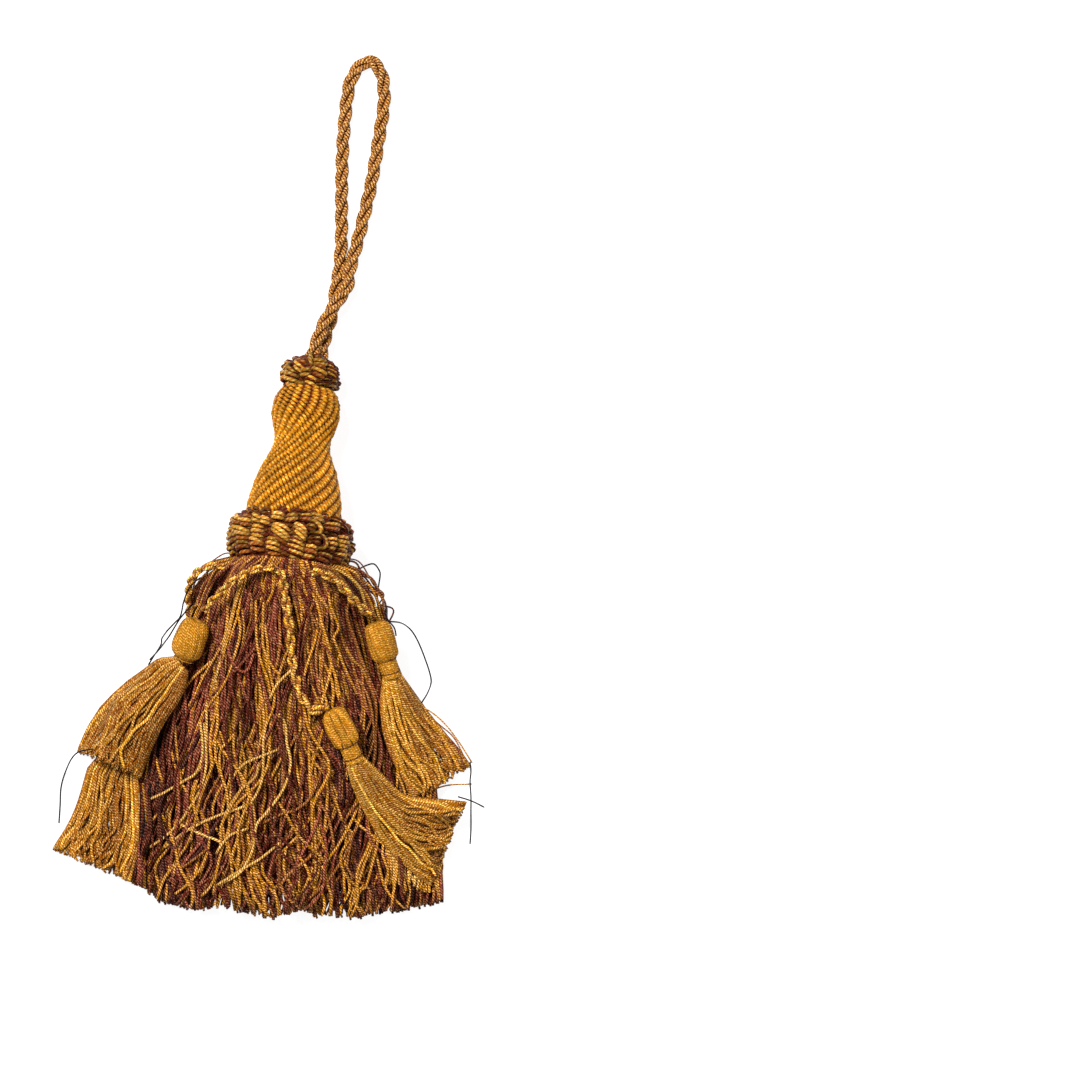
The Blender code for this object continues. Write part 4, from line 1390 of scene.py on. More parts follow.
    def paths(self, layer: Layer, share: Array, deep: Array, short: Array, rng: Draws) -> Array:
        """Lays a layer's yarns from the collar to the hem.

        Args:
            layer: The layer.
            share: Where each yarn leaves the collar, from -1 to 1.
            deep: How deep under the heap's top it lies, in millimetres.
            short: How far it ends before the hem, in millimetres.
            rng: The source of draws.

        Returns:
            [yarn, point, 3].
        """
        count = len(share)
        share = share[:, None]
        state = rng.bit_generator.state
        end = np.full(count, 9.8)
        for _ in range(3):
            rng.bit_generator.state = state
            stations = np.linspace(0.0, 1.0, layer.rings)[None] ** self.crowding * end[:, None]
            row = self.heap.at_station(stations)
            half = (row.right - row.left) / 2.0 / MM
            aside = self.strays(stations, count, rng, layer.straying) + self.locks(share, stations)
            lifting = self.strays(stations, count, rng, layer.straying) * 0.35
            sideways = np.clip(share + aside / (half * math.pi / 2.0), -1.0, 1.0)
            depth = deep[:, None] + lifting + self.sinking(share, stations)
            depth = depth * MM * clamped(0.4 + stations / 4.0)
            places = self.heap.place(sideways, stations, depth)
            hem = np.interp(places[:, -1, 0] / MM, *np.array(self.hem).T) + short
            miss = places[:, -1, 1] / MM - hem
            end = np.clip(end + miss / self.row_length, *self.row_limits)
        return places

    def build(self, yarn: Material, packed: Material) -> None:
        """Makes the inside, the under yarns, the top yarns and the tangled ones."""
        self.build_core(packed)
        rng = np.random.default_rng(23)
        for layer in self.layers:
            share, deep, short = layer.draw(rng)
            places = self.paths(layer, share, deep, short, rng)
            radius = self.yarn_radius * layer.girth * MM
            radii = cut_ends(layer.count, layer.rings, radius, rng, layer.unevenness)
            # Painted light and shade: each layer's lightness, darker top yarns between locks and the hollows'
            # pools of painted shade.
            colours = self.dyes(layer, share, rng) * layer.shade
            if layer.parted:
                far_down = np.full((layer.count, 1), 4.0)
                colours = colours * (1.0 - self.parted_shade * self.sinking(share[:, None], far_down))
            colours = self.tipped(colours, layer.rings, rng) if layer.tipped else colours[:, None]
            joined = JoinedYarns()
            joined.add(places, radii, colours * self.hollowed(places, layer.shadow))
            name = f"fringe_{layer.lying.value}_yarns"
            nodes = ["skirt"] if layer.lying is Lying.TOP else []
            publish(name, joined, yarn, "mixed_yarn", *nodes)

    def build_core(self, packed: Material) -> None:
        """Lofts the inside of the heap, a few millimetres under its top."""
        shares = np.linspace(-0.94, 0.94, self.core_steps)
        bm = bmesh.new()
        ring: list[BMVert] = []
        for station in np.linspace(0.05, 9.1, self.core_rings):
            at = np.full(self.core_steps, station)
            ridges = 1.0 + 0.5 * np.sin(40.0 * shares + 0.8 * station)
            top = self.heap.place(shares, at, (self.core_depth + ridges) * MM)
            low = self.heap.place(shares[::-1], at, np.full(self.core_steps, 1.0))
            low[:, 2] = np.minimum(low[:, 2], top[::-1, 2] - 0.4 * MM)
            places = over_surface(np.concatenate([top, low]), 0.2 * MM)
            if not ring:
                ring = [bm.verts.new(place) for place in places]
                for i in range(len(ring)):
                    bm.edges.new((ring[i - 1], ring[i]))
                continue
            edges = [bm.edges.get((ring[i - 1], ring[i])) for i in range(len(ring))]
            made = bmesh.ops.extrude_edge_only(bm, edges=edges)["geom"]
            fresh = {item for item in made if isinstance(item, BMVert)}
            ring = [next(e.other_vert(v) for e in v.link_edges if e.other_vert(v) in fresh) for v in ring]
            for vert, place in zip(ring, places):
                vert.co = place
        publish("fringe_core", closed_mesh("fringe_core", bm), packed, "mixed_yarn")


class Spread(NamedTuple):
    """Yarns spread side by side between two routes, in a choice of dyes."""

    inner: tuple[RoutePoint, ...] | tuple[PlanPoint, ...]
    outer: tuple[RoutePoint, ...] | tuple[PlanPoint, ...]
    count: int
    dyes: tuple[Dye, ...]

    def routes(self, rng: Draws) -> Iterator[tuple[float, Array]]:
        """Each yarn's share of the way from the inner route to the outer one, and its own route in metres."""
        inner = np.array(self.inner) * MM
        outer = np.array(self.outer) * MM
        for each in range(self.count):
            share = (each + rng.uniform(0.0, 1.0)) / self.count
            yield share, inner + (outer - inner) * share


class LooseYarns(NamedTuple):
    """Yarns that stray over the others: their dye, how far over the heap they lie, and their plans."""

    dye: Dye
    lift: float
    plans: tuple[tuple[tuple[float, float], ...], ...]


LOOSE_YARNS = (
    LooseYarns(Dye.CREAM_GOLD, 0.8, (
        ((-8.2, 19.6), (-8.9, 15.4), (-11.4, 5.6), (-13.5, -1.4), (-15.3, -9.1), (-17.4, -17.5)),
    )),
    LooseYarns(Dye.GOLD, 0.8, (
        ((-7.2, 18.9), (-9.6, 10.9), (-12.1, 0.7), (-14.2, -7.4), (-15.6, -13.3)),
        ((0.2, 12.6), (-0.2, -2.1), (1.2, -7.4), (3.7, -11.9), (5.4, -14), (4.7, -19.6)),
        ((-2.6, 11.9), (-2.3, -2.1), (-0.9, -9.1), (1.6, -16.1), (2.6, -23.2)),
        ((9.6, -3.2), (7.2, -8.4), (5.4, -14), (4, -19.6)),
    )),
    LooseYarns(Dye.CREAM_GOLD, 1.0, (
        ((12.8, -9.5), (8.9, -13), (4.7, -17.2), (1.9, -22.5)),
    )),
    LooseYarns(Dye.GOLD, 0.8, (
        (
            (22.6, 15.4), (23.3, 10.2), (25.4, 4.9), (26.1, 2.1), (24.4, -1.1), (26.1, -5.6), (27.9, -10.9),
            (32.5, -21.1),
        ),
        ((28.6, -4.6), (31.4, -9.1), (34.2, -11.9), (36, -16.1)),
    )),
    LooseYarns(Dye.ROSE, 0.8, (
        ((16.3, 21.2), (22.6, 19.1), (27.9, 15.2), (30.4, 10.9), (31.8, 5.6)),
        ((-1.2, -2.1), (-5.4, -7.4), (-11.8, -14.4), (-18.1, -21.1)),
        ((19.1, -2.1), (23, -6.3), (25.4, -11.9)),
    )),
    LooseYarns(Dye.ROSE, 1.0, (
        ((-12.8, -3.5), (-11.1, -9.1), (-8.2, -12.6), (-5.4, -11.9), (-3.3, -6)),
    )),
    LooseYarns(Dye.GOLD, 0.8, (
        ((-18.4, -9.1), (-26.5, -16.8), (-30.7, -23.2)),
    )),
    LooseYarns(Dye.CREAM_GOLD, 1.0, (
        ((-20.2, -23.2), (-20.5, -41.4), (-23.7, -48.4), (-28.9, -51.6), (-37, -56.5)),
        ((4.7, -26.7), (7.5, -31.1), (7.9, -37)),
    )),
    LooseYarns(Dye.GOLD, 4.0, (
        ((52, -24.6), (57.7, -27), (63, -31.5), (68, -38), (72.4, -45)),
    )),
    LooseYarns(Dye.OLD_GOLD, 3.0, (
        ((56, -27.9), (61.2, -31.9), (66.4, -36.8), (71.2, -46.4)),
    )),
    LooseYarns(Dye.ROSE, 3.4, (
        ((55.8, -28.6), (62, -36.9), (66.2, -38.4), (70.2, -47.4)),
    )),
    LooseYarns(Dye.GOLD, 2.0, (
        ((50.9, -55.4), (57, -54.9), (64, -53), (72.2, -52.6)),
    )),
    LooseYarns(Dye.CREAM_GOLD, 1.6, (
        (
            (-40.5, -74.7), (-34.6, -70.5), (-28.9, -64.6), (-25.4, -59.3), (-22.3, -54), (-20.4, -46),
            (-20.5, -37.2), (-21.2, -30.9),
        ),
        (
            (-40.5, -57.9), (-35.3, -55.4), (-29.3, -51.9), (-24, -48.4), (-21.9, -43.2), (-21.6, -37.2),
            (-22.6, -30.2),
        ),
        (
            (7.9, -31.9), (7.9, -37.2), (9.3, -44.2), (7.9, -51.2), (5.1, -56.5), (0.5, -62.5),
            (-2.6, -66.3), (-3.7, -73.3), (-5.4, -78.2), (-8.9, -83.5), (-16, -87.7),
        ),
        ((5.8, -72.3), (2.6, -75.1), (-1.9, -78.6), (-7.9, -82.1), (-16.7, -87.7)),
    )),
    LooseYarns(Dye.GOLD, 1.0, (
        ((-41.2, -30.9), (-39.8, -37.2), (-37, -48.4), (-34.6, -54)),
        (
            (-10.4, -34.4), (-12.5, -37.2), (-15.3, -40.7), (-15.3, -47.7), (-13.2, -54.7), (-12.5, -61.8),
            (-12.1, -68.8),
        ),
        ((15.6, -39.6), (20.2, -43.5), (24.4, -48.4)),
        (
            (23.7, -54.7), (26.8, -63.5), (28.6, -67.7), (30.7, -69.8), (26.8, -76.8), (27.9, -83.5),
            (31.4, -87.4), (33.9, -89.1),
        ),
        ((39.1, -65.3), (39.5, -72.3), (37.4, -81.1), (34.9, -88.8), (31.4, -87.4)),
        ((12.1, -77.5), (14.9, -81.8), (16.7, -87.4), (18.4, -89.8)),
        ((7.5, -74.7), (6.8, -81.8), (9.3, -87.4), (12.1, -91.6)),
        ((-0.9, -79.3), (-0.2, -83.9), (4, -89.1)),
        ((-10, -60.7), (-8.9, -62.8), (-10, -67.7)),
        ((-12.5, -73.3), (-11.4, -81.8)),
        ((-16.7, -83.9), (-19.5, -88.8), (-22.3, -91.6)),
        ((34.2, -60.7), (32.1, -67.7), (30.7, -69.8)),
        ((-37.7, -60.7), (-36, -66.3), (-34.2, -71.6)),
        ((-40.5, -66.3), (-37, -62.8), (-34.6, -66)),
    )),
    LooseYarns(Dye.CREAM_GOLD, 1.3, (
        (
            (-35.3, -74.7), (-28.9, -69.8), (-23, -66.3), (-16, -63.2), (-8.9, -60.7), (-4.4, -58.2),
            (-0.9, -51.2), (-0.2, -43.2), (-0.2, -37.2), (0.9, -30.2),
        ),
        ((5.1, -40), (-3, -43.2), (-7.2, -45.3), (-10.7, -49.5), (-11.8, -54.7)),
        ((-1.9, -44.2), (-3, -49.5), (-7.9, -54), (-11.8, -59.3), (-14.9, -65.3)),
        ((-5.4, -67.7), (-11.4, -69.8), (-14.9, -73.3), (-17, -76.8)),
        ((-30, -66.3), (-23, -69.5), (-16, -72.3), (-15.3, -74.7)),
    )),
    LooseYarns(Dye.TAN, 1.0, (
        ((20.2, -46), (18.4, -51.9), (15.6, -57.5), (11.1, -61.1), (5.8, -62.8), (-0.9, -66)),
        ((18.1, -56.8), (21.9, -62.8), (23.7, -69.8), (24.4, -75.1)),
        ((-19.5, -74.7), (-24.7, -78.6), (-29.3, -82.1)),
    )),
)
LOOSE_THREADS = (
    (
        (-22, 20), (-25.8, 16.8), (-28.2, 11.6), (-29.3, 6.3), (-31.1, 4.2), (-36, -1.1), (-36.7, -3.9),
        (-40.5, -10.5),
    ),
    ((-22, 14), (-25.4, 10.5), (-29.3, 5.6), (-33.2, -0.7), (-35.6, -3.5), (-37.4, -5.6), (-40.2, -8.8)),
    (
        (-60, -40), (-65.1, -41.1), (-67.9, -43.9), (-70.4, -48.8), (-71.8, -54), (-72.1, -60),
        (-72.5, -66.3),
    ),
    ((31, 21.4), (32.8, 22.8), (35.6, 24.2), (38.1, 24.6), (39.8, 22.5), (40.2, 20.7), (39.5, 16.1)),
    ((39.5, 15.4), (41.2, 12.6), (42.6, 9.1), (43, 5.6), (45.4, 2.5), (46.1, -0.4)),
    (
        (44, 4.6), (47.2, 4.2), (49.6, 2.8), (51.8, 0.4), (53.9, -3.5), (56, -8.8), (57.4, -13),
        (58.1, -16.8), (57, -20.4), (54.9, -23.9),
    ),
    (
        (71.8, -44.6), (72.1, -48.1), (71.8, -51.6), (72.1, -56.8), (72.1, -61.8), (72.1, -68.4),
        (71.8, -73.3),
    ),
    ((67.5, -56.8), (71.8, -58.2), (76.7, -60.7)),
)


@dataclass
class StrayYarns:
    """Single yarns that lie across the heap in long curves, and the sewing threads that have come loose."""

    shoulders: tuple[Spread, ...] = (
        Spread(
            table(
                RoutePoint,
                (22, 24.6, 33), (28, 21.8, 31), (32.4, 17, 27), (35.6, 11, 22), (38.4, 4, 16), (40, -4, 11),
            ),
            table(
                RoutePoint,
                (25, 26, 24), (33.2, 23.8, 19), (37.6, 18.8, 14), (41, 13, 10), (43, 7, 7), (43.4, 1, 4.5),
            ),
            20,
            (Dye.ROSE, Dye.TAN, Dye.BURGUNDY, Dye.GOLD, Dye.STRAW),
        ),
        Spread(
            table(
                RoutePoint,
                (-9, 26, 30), (-15, 21.6, 28), (-19, 16, 23), (-21.6, 10, 18), (-23.6, 4, 12),
                (-25.6, -3, 7),
            ),
            table(
                RoutePoint,
                (-9.6, 28, 22), (-17.6, 24.6, 18), (-22.6, 20.4, 14), (-25.6, 15.4, 10), (-26.6, 9.6, 7),
                (-27.6, 2, 4),
            ),
            16,
            (Dye.TAN, Dye.STRAW, Dye.ROSE, Dye.GOLD, Dye.BURGUNDY),
        ),
    )
    shoulder_wave: float = 0.9
    shoulder_thinning: float = 0.5
    spills: tuple[Spread, ...] = (
        Spread(
            table(PlanPoint, (38, -56), (40, -66), (41, -76), (42, -90)),
            table(PlanPoint, (52, -62), (57, -72), (59.4, -80), (59.4, -91.6)),
            34,
            (Dye.GOLD, Dye.PALE_GOLD, Dye.GOLD, Dye.CREAM_GOLD, Dye.OLD_GOLD),
        ),
        Spread(
            table(PlanPoint, (-30, -18), (-38, -44), (-42, -66), (-43, -84)),
            table(PlanPoint, (-34, -18), (-44, -44), (-48, -66), (-49, -82)),
            26,
            (Dye.PLUM, Dye.BURGUNDY, Dye.INK, Dye.PLUM, Dye.BURGUNDY),
        ),
    )
    spill_wave: float = 2.0
    loose: tuple[LooseYarns, ...] = LOOSE_YARNS
    threads: tuple[tuple[tuple[float, float], ...], ...] = LOOSE_THREADS
    yarn_radius: float = 0.52
    slim_lift: float = 2.0
    slimming: float = 0.55
    thread_radius: float = 0.28
    tucked_depth: float = 2.2
    tucked_share: float = 0.14
    curly_count: int = 24
    curly_region: tuple[float, float, float, float] = (-36.0, 52.0, -92.0, -14.0)
    curly_dyes: tuple[Dye, ...] = (Dye.GOLD, Dye.TAN, Dye.ROSE, Dye.BURGUNDY)
    curly_shares: tuple[float, ...] = (0.35, 0.2, 0.2, 0.25)
    fewest_curly_steps: int = 14

    def curly_plans(self, rng: Draws) -> list[Array]:
        """Plans of long curly yarns: each sets off downwards, bends one way and then the other."""
        left, right, low, high = self.curly_region
        plans = []
        for _ in range(self.curly_count):
            place = np.array([rng.uniform(left, right), rng.uniform(low + 24.0, high)])
            fan = 0.006 * (place[0] - (left + right) / 2.0)
            heading = -math.pi / 2.0 + fan + rng.normal(0.0, 0.2)
            bend = rng.normal(0.0, 0.03)
            length = int(rng.uniform(30.0, 66.0))
            turn_at = rng.uniform(0.25, 0.6) * length
            plan = [place]
            for step in range(length):
                heading += bend if step < turn_at else -1.2 * bend
                heading += 0.03 * (-math.pi / 2.0 + fan - heading)
                place = place + np.array([math.cos(heading), math.sin(heading)])
                if not (left - 4.0 < place[0] < right + 4.0 and low < place[1]):
                    break
                plan.append(place)
            if len(plan) > self.fewest_curly_steps:
                plans.append(np.array(plan) * MM)
        return plans

    def add_shoulders(self, joined: JoinedYarns, rng: Draws) -> None:
        """Adds the yarns that bulge out under the collar, thinner and redder towards the outside."""
        for shoulder in self.shoulders:
            for share, knots in shoulder.routes(rng):
                wave = rng.normal(0.0, self.shoulder_wave * MM, (len(knots) - 1, 3))
                knots[1:] += wave * (0.4 + share)
                radius = self.yarn_radius * MM * (1.0 - self.shoulder_thinning * share**2)
                path = over_surface(smooth_curve(knots, LAID_STEP * MM), radius)
                among = len(shoulder.dyes) - (2 if share > 0.55 else 0)
                joined.add_one(path, radius, shoulder.dyes[int(rng.integers(among))], rng)

    def add_spills(self, bed: Bed, joined: JoinedYarns, rng: Draws) -> None:
        """Adds yarns that spill down over the heap's edges, under the small tassels."""
        radius = self.yarn_radius * MM
        for spill in self.spills:
            for _, knots in spill.routes(rng):
                knots[1:-1] += rng.normal(0.0, self.spill_wave * MM, (len(knots) - 2, 2))
                plan = smooth_curve(knots, LAID_STEP * MM)
                plan = plan[: int(len(plan) * rng.uniform(0.84, 1.0))]
                path = bed.lay(plan, radius, rng.uniform(-0.3, 0.8) * MM)
                joined.add_one(path, radius, spill.dyes[int(rng.integers(len(spill.dyes)))], rng)

    def tucked(self, path: Array) -> Array:
        """Sinks a laid yarn's ends among the yarns under it."""
        share = np.linspace(0.0, 1.0, len(path))
        reach = self.tucked_share
        dip = clamped(1.0 - share / reach) ** 2 + clamped((share - (1.0 - reach)) / reach) ** 2
        sunk = path.copy()
        sunk[:, 2] -= self.tucked_depth * MM * dip
        return sunk

    def build_yarns(self, heap: Heap, yarn: Material) -> None:
        """Lays the stray yarns on the heap, with their ends tucked in."""
        rng = np.random.default_rng(41)
        bed = Bed(heap)
        joined = JoinedYarns()
        for dye, lift, plans in self.loose:
            radius = self.yarn_radius * MM * (self.slimming if lift >= self.slim_lift else 1.0)
            for points in plans:
                plan = smooth_curve(np.array(points) * MM, LAID_STEP * MM)
                joined.add_one(self.tucked(bed.lay(plan, radius, lift * MM)), radius, dye, rng)
        radius = self.yarn_radius * MM
        for plan in self.curly_plans(rng):
            path = self.tucked(bed.lay(plan, radius, rng.uniform(-0.5, 0.7) * MM))
            dye = self.curly_dyes[int(rng.choice(len(self.curly_dyes), p=self.curly_shares))]
            joined.add_one(path, radius, dye, rng)
        self.add_shoulders(joined, rng)
        self.add_spills(bed, joined, rng)
        publish("stray_yarns", joined, yarn, "mixed_yarn")

    def build_threads(self, bed: Bed, thread: Material) -> None:
        """Lays the loose sewing threads on everything under them."""
        rng = np.random.default_rng(42)
        radius = self.thread_radius * MM
        joined = JoinedYarns()
        for points in self.threads:
            plan = smooth_curve(np.array(points) * MM, 0.8 * MM)
            joined.add_one(bed.lay(plan, radius, 0.1 * MM), radius, Dye.INK, rng)
        publish("loose_threads", joined, thread, "mixed_yarn")


# ---- Small tassels ----


class SkirtRow(NamedTuple):
    """A row of a small tassel's yarn: its middle, half its width and its thickness."""

    x: float
    y: float
    half_width: float
    thickness: float


def read_grid(grid: Array, along: Array, across: Array) -> Array:
    """Reads a grid of points between its rows and columns.

    Args:
        grid: [row, column, value].
        along: Row numbers, with parts of a row.
        across: Column numbers, with parts of a column.

    Returns:
        The values, with a last axis as long as the grid's.
    """
    row = np.clip(along.astype(int), 0, len(grid) - 2)
    column = np.clip(across.astype(int), 0, grid.shape[1] - 2)
    down = (along - row)[..., None]
    aside = (across - column)[..., None]
    near = grid[row, column] * (1.0 - aside) + grid[row, column + 1] * aside
    far = grid[row + 1, column] * (1.0 - aside) + grid[row + 1, column + 1] * aside
    return near * (1.0 - down) + far * down


@dataclass
class SmallTassel:
    """A small gold tassel on a two-ply cord: yarn folded over a ball, tied at the neck, cut in a skirt."""

    name: str
    top: tuple[float, float]
    neck: tuple[float, float]
    rows: tuple[SkirtRow, ...]
    route: tuple[RoutePoint, ...]
    seed: int
    head_radius: float = 6.5
    head_middle: float = 6.8
    head_length: float = 19.0
    head_yarns: int = 48
    head_swirl: float = 0.6
    neck_radius: float = 3.1
    head_turns: tuple[Turn, ...] = table(
        Turn,
        (0.9, 0.8), (0.5, 2.2), (0.4, 3.6), (1.2, 4.9), (3.2, 5.8), (6.8, 6.1), (10, 5.9), (12.4, 5.1),
        (13.6, 3.8), (15, 3.4), (18.8, 3.5), (20.5, 3.6),
    )
    head_girth: float = 1.0
    head_lumps: tuple[float, float] = (0.07, 0.04)
    splits: tuple[float, ...] = ()
    split_depth: float = 2.6
    split_width: float = 26.0
    ties: tuple[float, ...] = (13.6, 18.4)
    tie_depth: float = 0.4
    tie_width: float = 0.9
    thread_radius: float = 0.24
    yarn_radius: float = 0.54
    skirt_shade: float = 0.86
    skirt_dyes: tuple[Dye, ...] = (Dye.GOLD, Dye.PALE_GOLD, Dye.OLD_GOLD)
    skirt_shares: tuple[float, ...] = (0.6, 0.15, 0.25)
    # Painted shade: yarns that lie deeper in the skirt are painted darker and redder.
    depth_shade: float = 0.74
    depth_shade_tint: tuple[float, float, float] = (0.72, 0.98, 1.2)
    skirt_locks: float = 13.0
    skirt_faces: int = 22
    skirt_yarns: int = 180
    skirt_rings: int = 20
    crimp: float = 0.016
    half_steps: int = 7
    section_rings: int = 8
    tooth: float = 3.0
    settle_length: float = 14.0
    drape_radius: float = 1.8
    cord_diameter: float = 2.3
    ply_offset: float = 0.7
    ply_lay: float = 12.0
    strand_radius: float = 0.52
    strand_offset: float = 0.3
    strand_lay: float = -5.2
    cord_room: float = 3.0
    head_room: float = 2.5
    crown_room: float = 0.8

    def head_frame(self, bed: Bed) -> Matrix:
        """The head's frame: Z runs from its top to its neck."""
        top = Vector(self.top) * MM
        run = Vector(self.neck) * MM - top
        length = self.head_length * MM
        plan = min(run.length, length)
        drop = math.sqrt(length**2 - plan**2)
        heading = run.normalized()
        down = Vector((heading.x * plan, heading.y * plan, -drop)).normalized()
        middle = top + heading * plan * self.head_middle / self.head_length
        height = bed.rest_height(middle.x, middle.y, self.head_radius * MM)
        return line_frame(Vector((middle.x, middle.y, height)) - down * self.head_middle * MM, down)

    def sections(self, placed: Matrix, bed: Bed) -> tuple[Array, Array]:
        """Cross sections of the skirt from the neck down on to what it lies on.

        Args:
            placed: The head's frame.
            bed: What the skirt lies on.

        Returns:
            (top, low): the top's points [ring, step, 3] and the underside's heights [ring, step].
        """
        neck = placed @ Vector((0.0, 0.0, self.head_length * MM))
        down = placed.col[2].xyz
        pitch = -down.z
        heading = Vector((down.x, down.y)).normalized()
        start = Vector((neck.x, neck.y)) + heading * (self.neck_radius * MM * pitch + 0.6 * MM)
        first = (start.x / MM, start.y / MM, self.neck_radius, 2.0 * self.neck_radius)
        rows = smooth_curve([first] + [tuple(row) for row in self.rows], 1.0)
        rows = rows[np.linspace(0, len(rows) - 1, self.section_rings).round().astype(int)] * MM
        tops = []
        lows = []
        run = 0.0
        for index, (x, y, half, thick) in enumerate(rows):
            after = rows[min(index + 1, len(rows) - 1)]
            before = rows[max(index - 1, 0)]
            heading = Vector((after[0] - before[0], after[1] - before[1])).normalized()
            if index:
                run += math.hypot(x - rows[index - 1][0], y - rows[index - 1][1])
            settled = min(1.0, run / (self.settle_length * MM))
            hung = neck.z - self.neck_radius * MM - pitch * run * 0.6
            top = []
            low = []
            for step in range(2 * self.half_steps + 1):
                share = step / self.half_steps - 1.0
                rounded = max(0.0, math.cos(share * math.pi / 2.0))
                offset = half * math.sin(share * math.pi / 2.0)
                px = x - heading.y * offset
                py = y + heading.x * offset
                lying = bed.rest_height(px, py, self.drape_radius * MM) - self.drape_radius * MM
                base = max(lying, hung * (1.0 - settled) + lying * settled)
                edge = thick * (0.5 - 0.2 * settled)
                top.append((px, py, base + edge + (thick - edge) * rounded))
                low.append(base + edge * (1.0 - rounded) ** (1.0 + 3.0 * settled))
            tops.append(top)
            lows.append(low)
        return np.array(tops), np.array(lows)

    def leave_mounds(self, bed: Bed, placed: Matrix, tops: Array, cord: Array) -> None:
        """Lets later pieces lie over this tassel and its cord."""
        thick = self.cord_diameter / 2.0 * MM
        for x, y, z in cord:
            bed.mounds.append(Mound(x, y, thick + self.cord_room * MM, z, z + thick + 0.3 * MM))
        reach = (self.head_radius + self.head_room) * MM
        for station, radius, share in (
            (self.head_middle, self.head_radius, 1.0),
            (self.head_length * 0.85, self.neck_radius, 0.8),
        ):
            x, y, z = placed @ Vector((0.0, 0.0, station * MM))
            bed.mounds.append(Mound(x, y, reach * share, z, z + (radius + self.crown_room) * MM))
        for ring in tops:
            half = float(np.linalg.norm(ring[0] - ring[-1])) / 2.0 + 2.0 * MM
            crest = float(ring[:, 2].max()) + 0.5 * MM
            bed.mounds.append(Mound(*ring[self.half_steps, :2], half, crest * 0.6, crest))

    def build(self, bed: Bed, yarn: Material, folded: Material) -> None:
        """Makes the head, the skirt and the cord, and lays them on the bed."""
        placed = self.head_frame(bed)
        tops, lows = self.sections(placed, bed)
        rng = np.random.default_rng(self.seed)
        self.build_head(placed, folded, rng)
        self.build_skirt(tops, lows, yarn, rng)
        line = self.build_cord(bed, yarn, rng)
        self.leave_mounds(bed, placed, tops, line)

    def surface(self, placed: Matrix, lump: Array, angle: Array, station: Array, out: Array) -> Array:
        """Points on the head, sunk where it is split in lobes and where it is tied.

        Args:
            placed: The head's frame.
            lump: Where the head's two lumps stand, in radians.
            angle: Round the head, in radians.
            station: Down from its top, in millimetres.
            out: Radius, in millimetres.

        Returns:
            The points in the part's frame and metres, with a last axis of 3.
        """
        ball = clamped((self.ties[0] - station) / 3.0)
        broad, narrow = self.head_lumps
        radius = np.maximum(out, 0.3) * (1.0 + ball * (self.head_girth - 1.0))
        radius = radius * (1.0 + ball * broad * np.sin(2.0 * angle + lump[0] + 0.2 * station))
        radius = radius * (1.0 + ball * narrow * np.sin(3.0 * angle + lump[1] - 0.4 * station))
        for split in self.splits:
            apart = np.abs((np.degrees(angle) - split + 180.0) % 360.0 - 180.0)
            radius = radius - ball * self.split_depth * clamped(1.0 - apart / self.split_width) ** 1.5
        for tie in self.ties:
            radius = radius - self.tie_depth * clamped(1.0 - np.abs(station - tie) / self.tie_width)
        return moved(placed, round_axis(radius, angle, station))

    def build_head(self, placed: Matrix, yarn: Material, rng: Draws) -> None:
        """Folds yarn over the ball, sinks it where the ball is split in lobes and ties the neck."""
        surface = partial(self.surface, placed, rng.uniform(0.0, FULL_TURN, 3))
        count = self.head_yarns
        end = self.head_length + 1.6
        profile = smooth_curve([turn for turn in self.head_turns if turn.station < end], 1.1)
        down, out = profile.T[:, None]
        angle = FULL_TURN * (np.arange(count) + rng.uniform(-0.25, 0.25, count))
        angle = (angle / count)[:, None] + self.head_swirl * down / self.head_length
        loose = rng.uniform(0.0, 0.35, (count, 1)) * clamped(out / 5.0)
        joined = JoinedYarns()
        colours = dyed(Dye.HEAD_GOLD, count, rng, 0.12)
        path = surface(angle, np.broadcast_to(down, angle.shape), out - self.yarn_radius - loose)
        joined.add(path, self.yarn_radius * MM, colours)
        stations, radii = np.array(self.head_turns[3:]).T
        radius = self.thread_radius * MM
        for tie in self.ties:
            around = np.linspace(0.0, FULL_TURN, 26)
            place = np.full(26, tie) + around * 0.1
            path = surface(around, place, np.interp(place, stations, radii) - 0.1)
            joined.add_one(path, radius, Dye.BROWN, rng)
        for split in self.splits:
            run = np.linspace(1.2, self.ties[0] - 0.3, 18)
            path = surface(np.full(18, math.radians(split)), run, np.interp(run, stations, radii) + 0.2)
            joined.add_one(path, radius, Dye.INK, rng)
        name = "covered_head_" + self.name
        publish(name, joined, yarn, "gold_covering", "small_head_" + self.name)

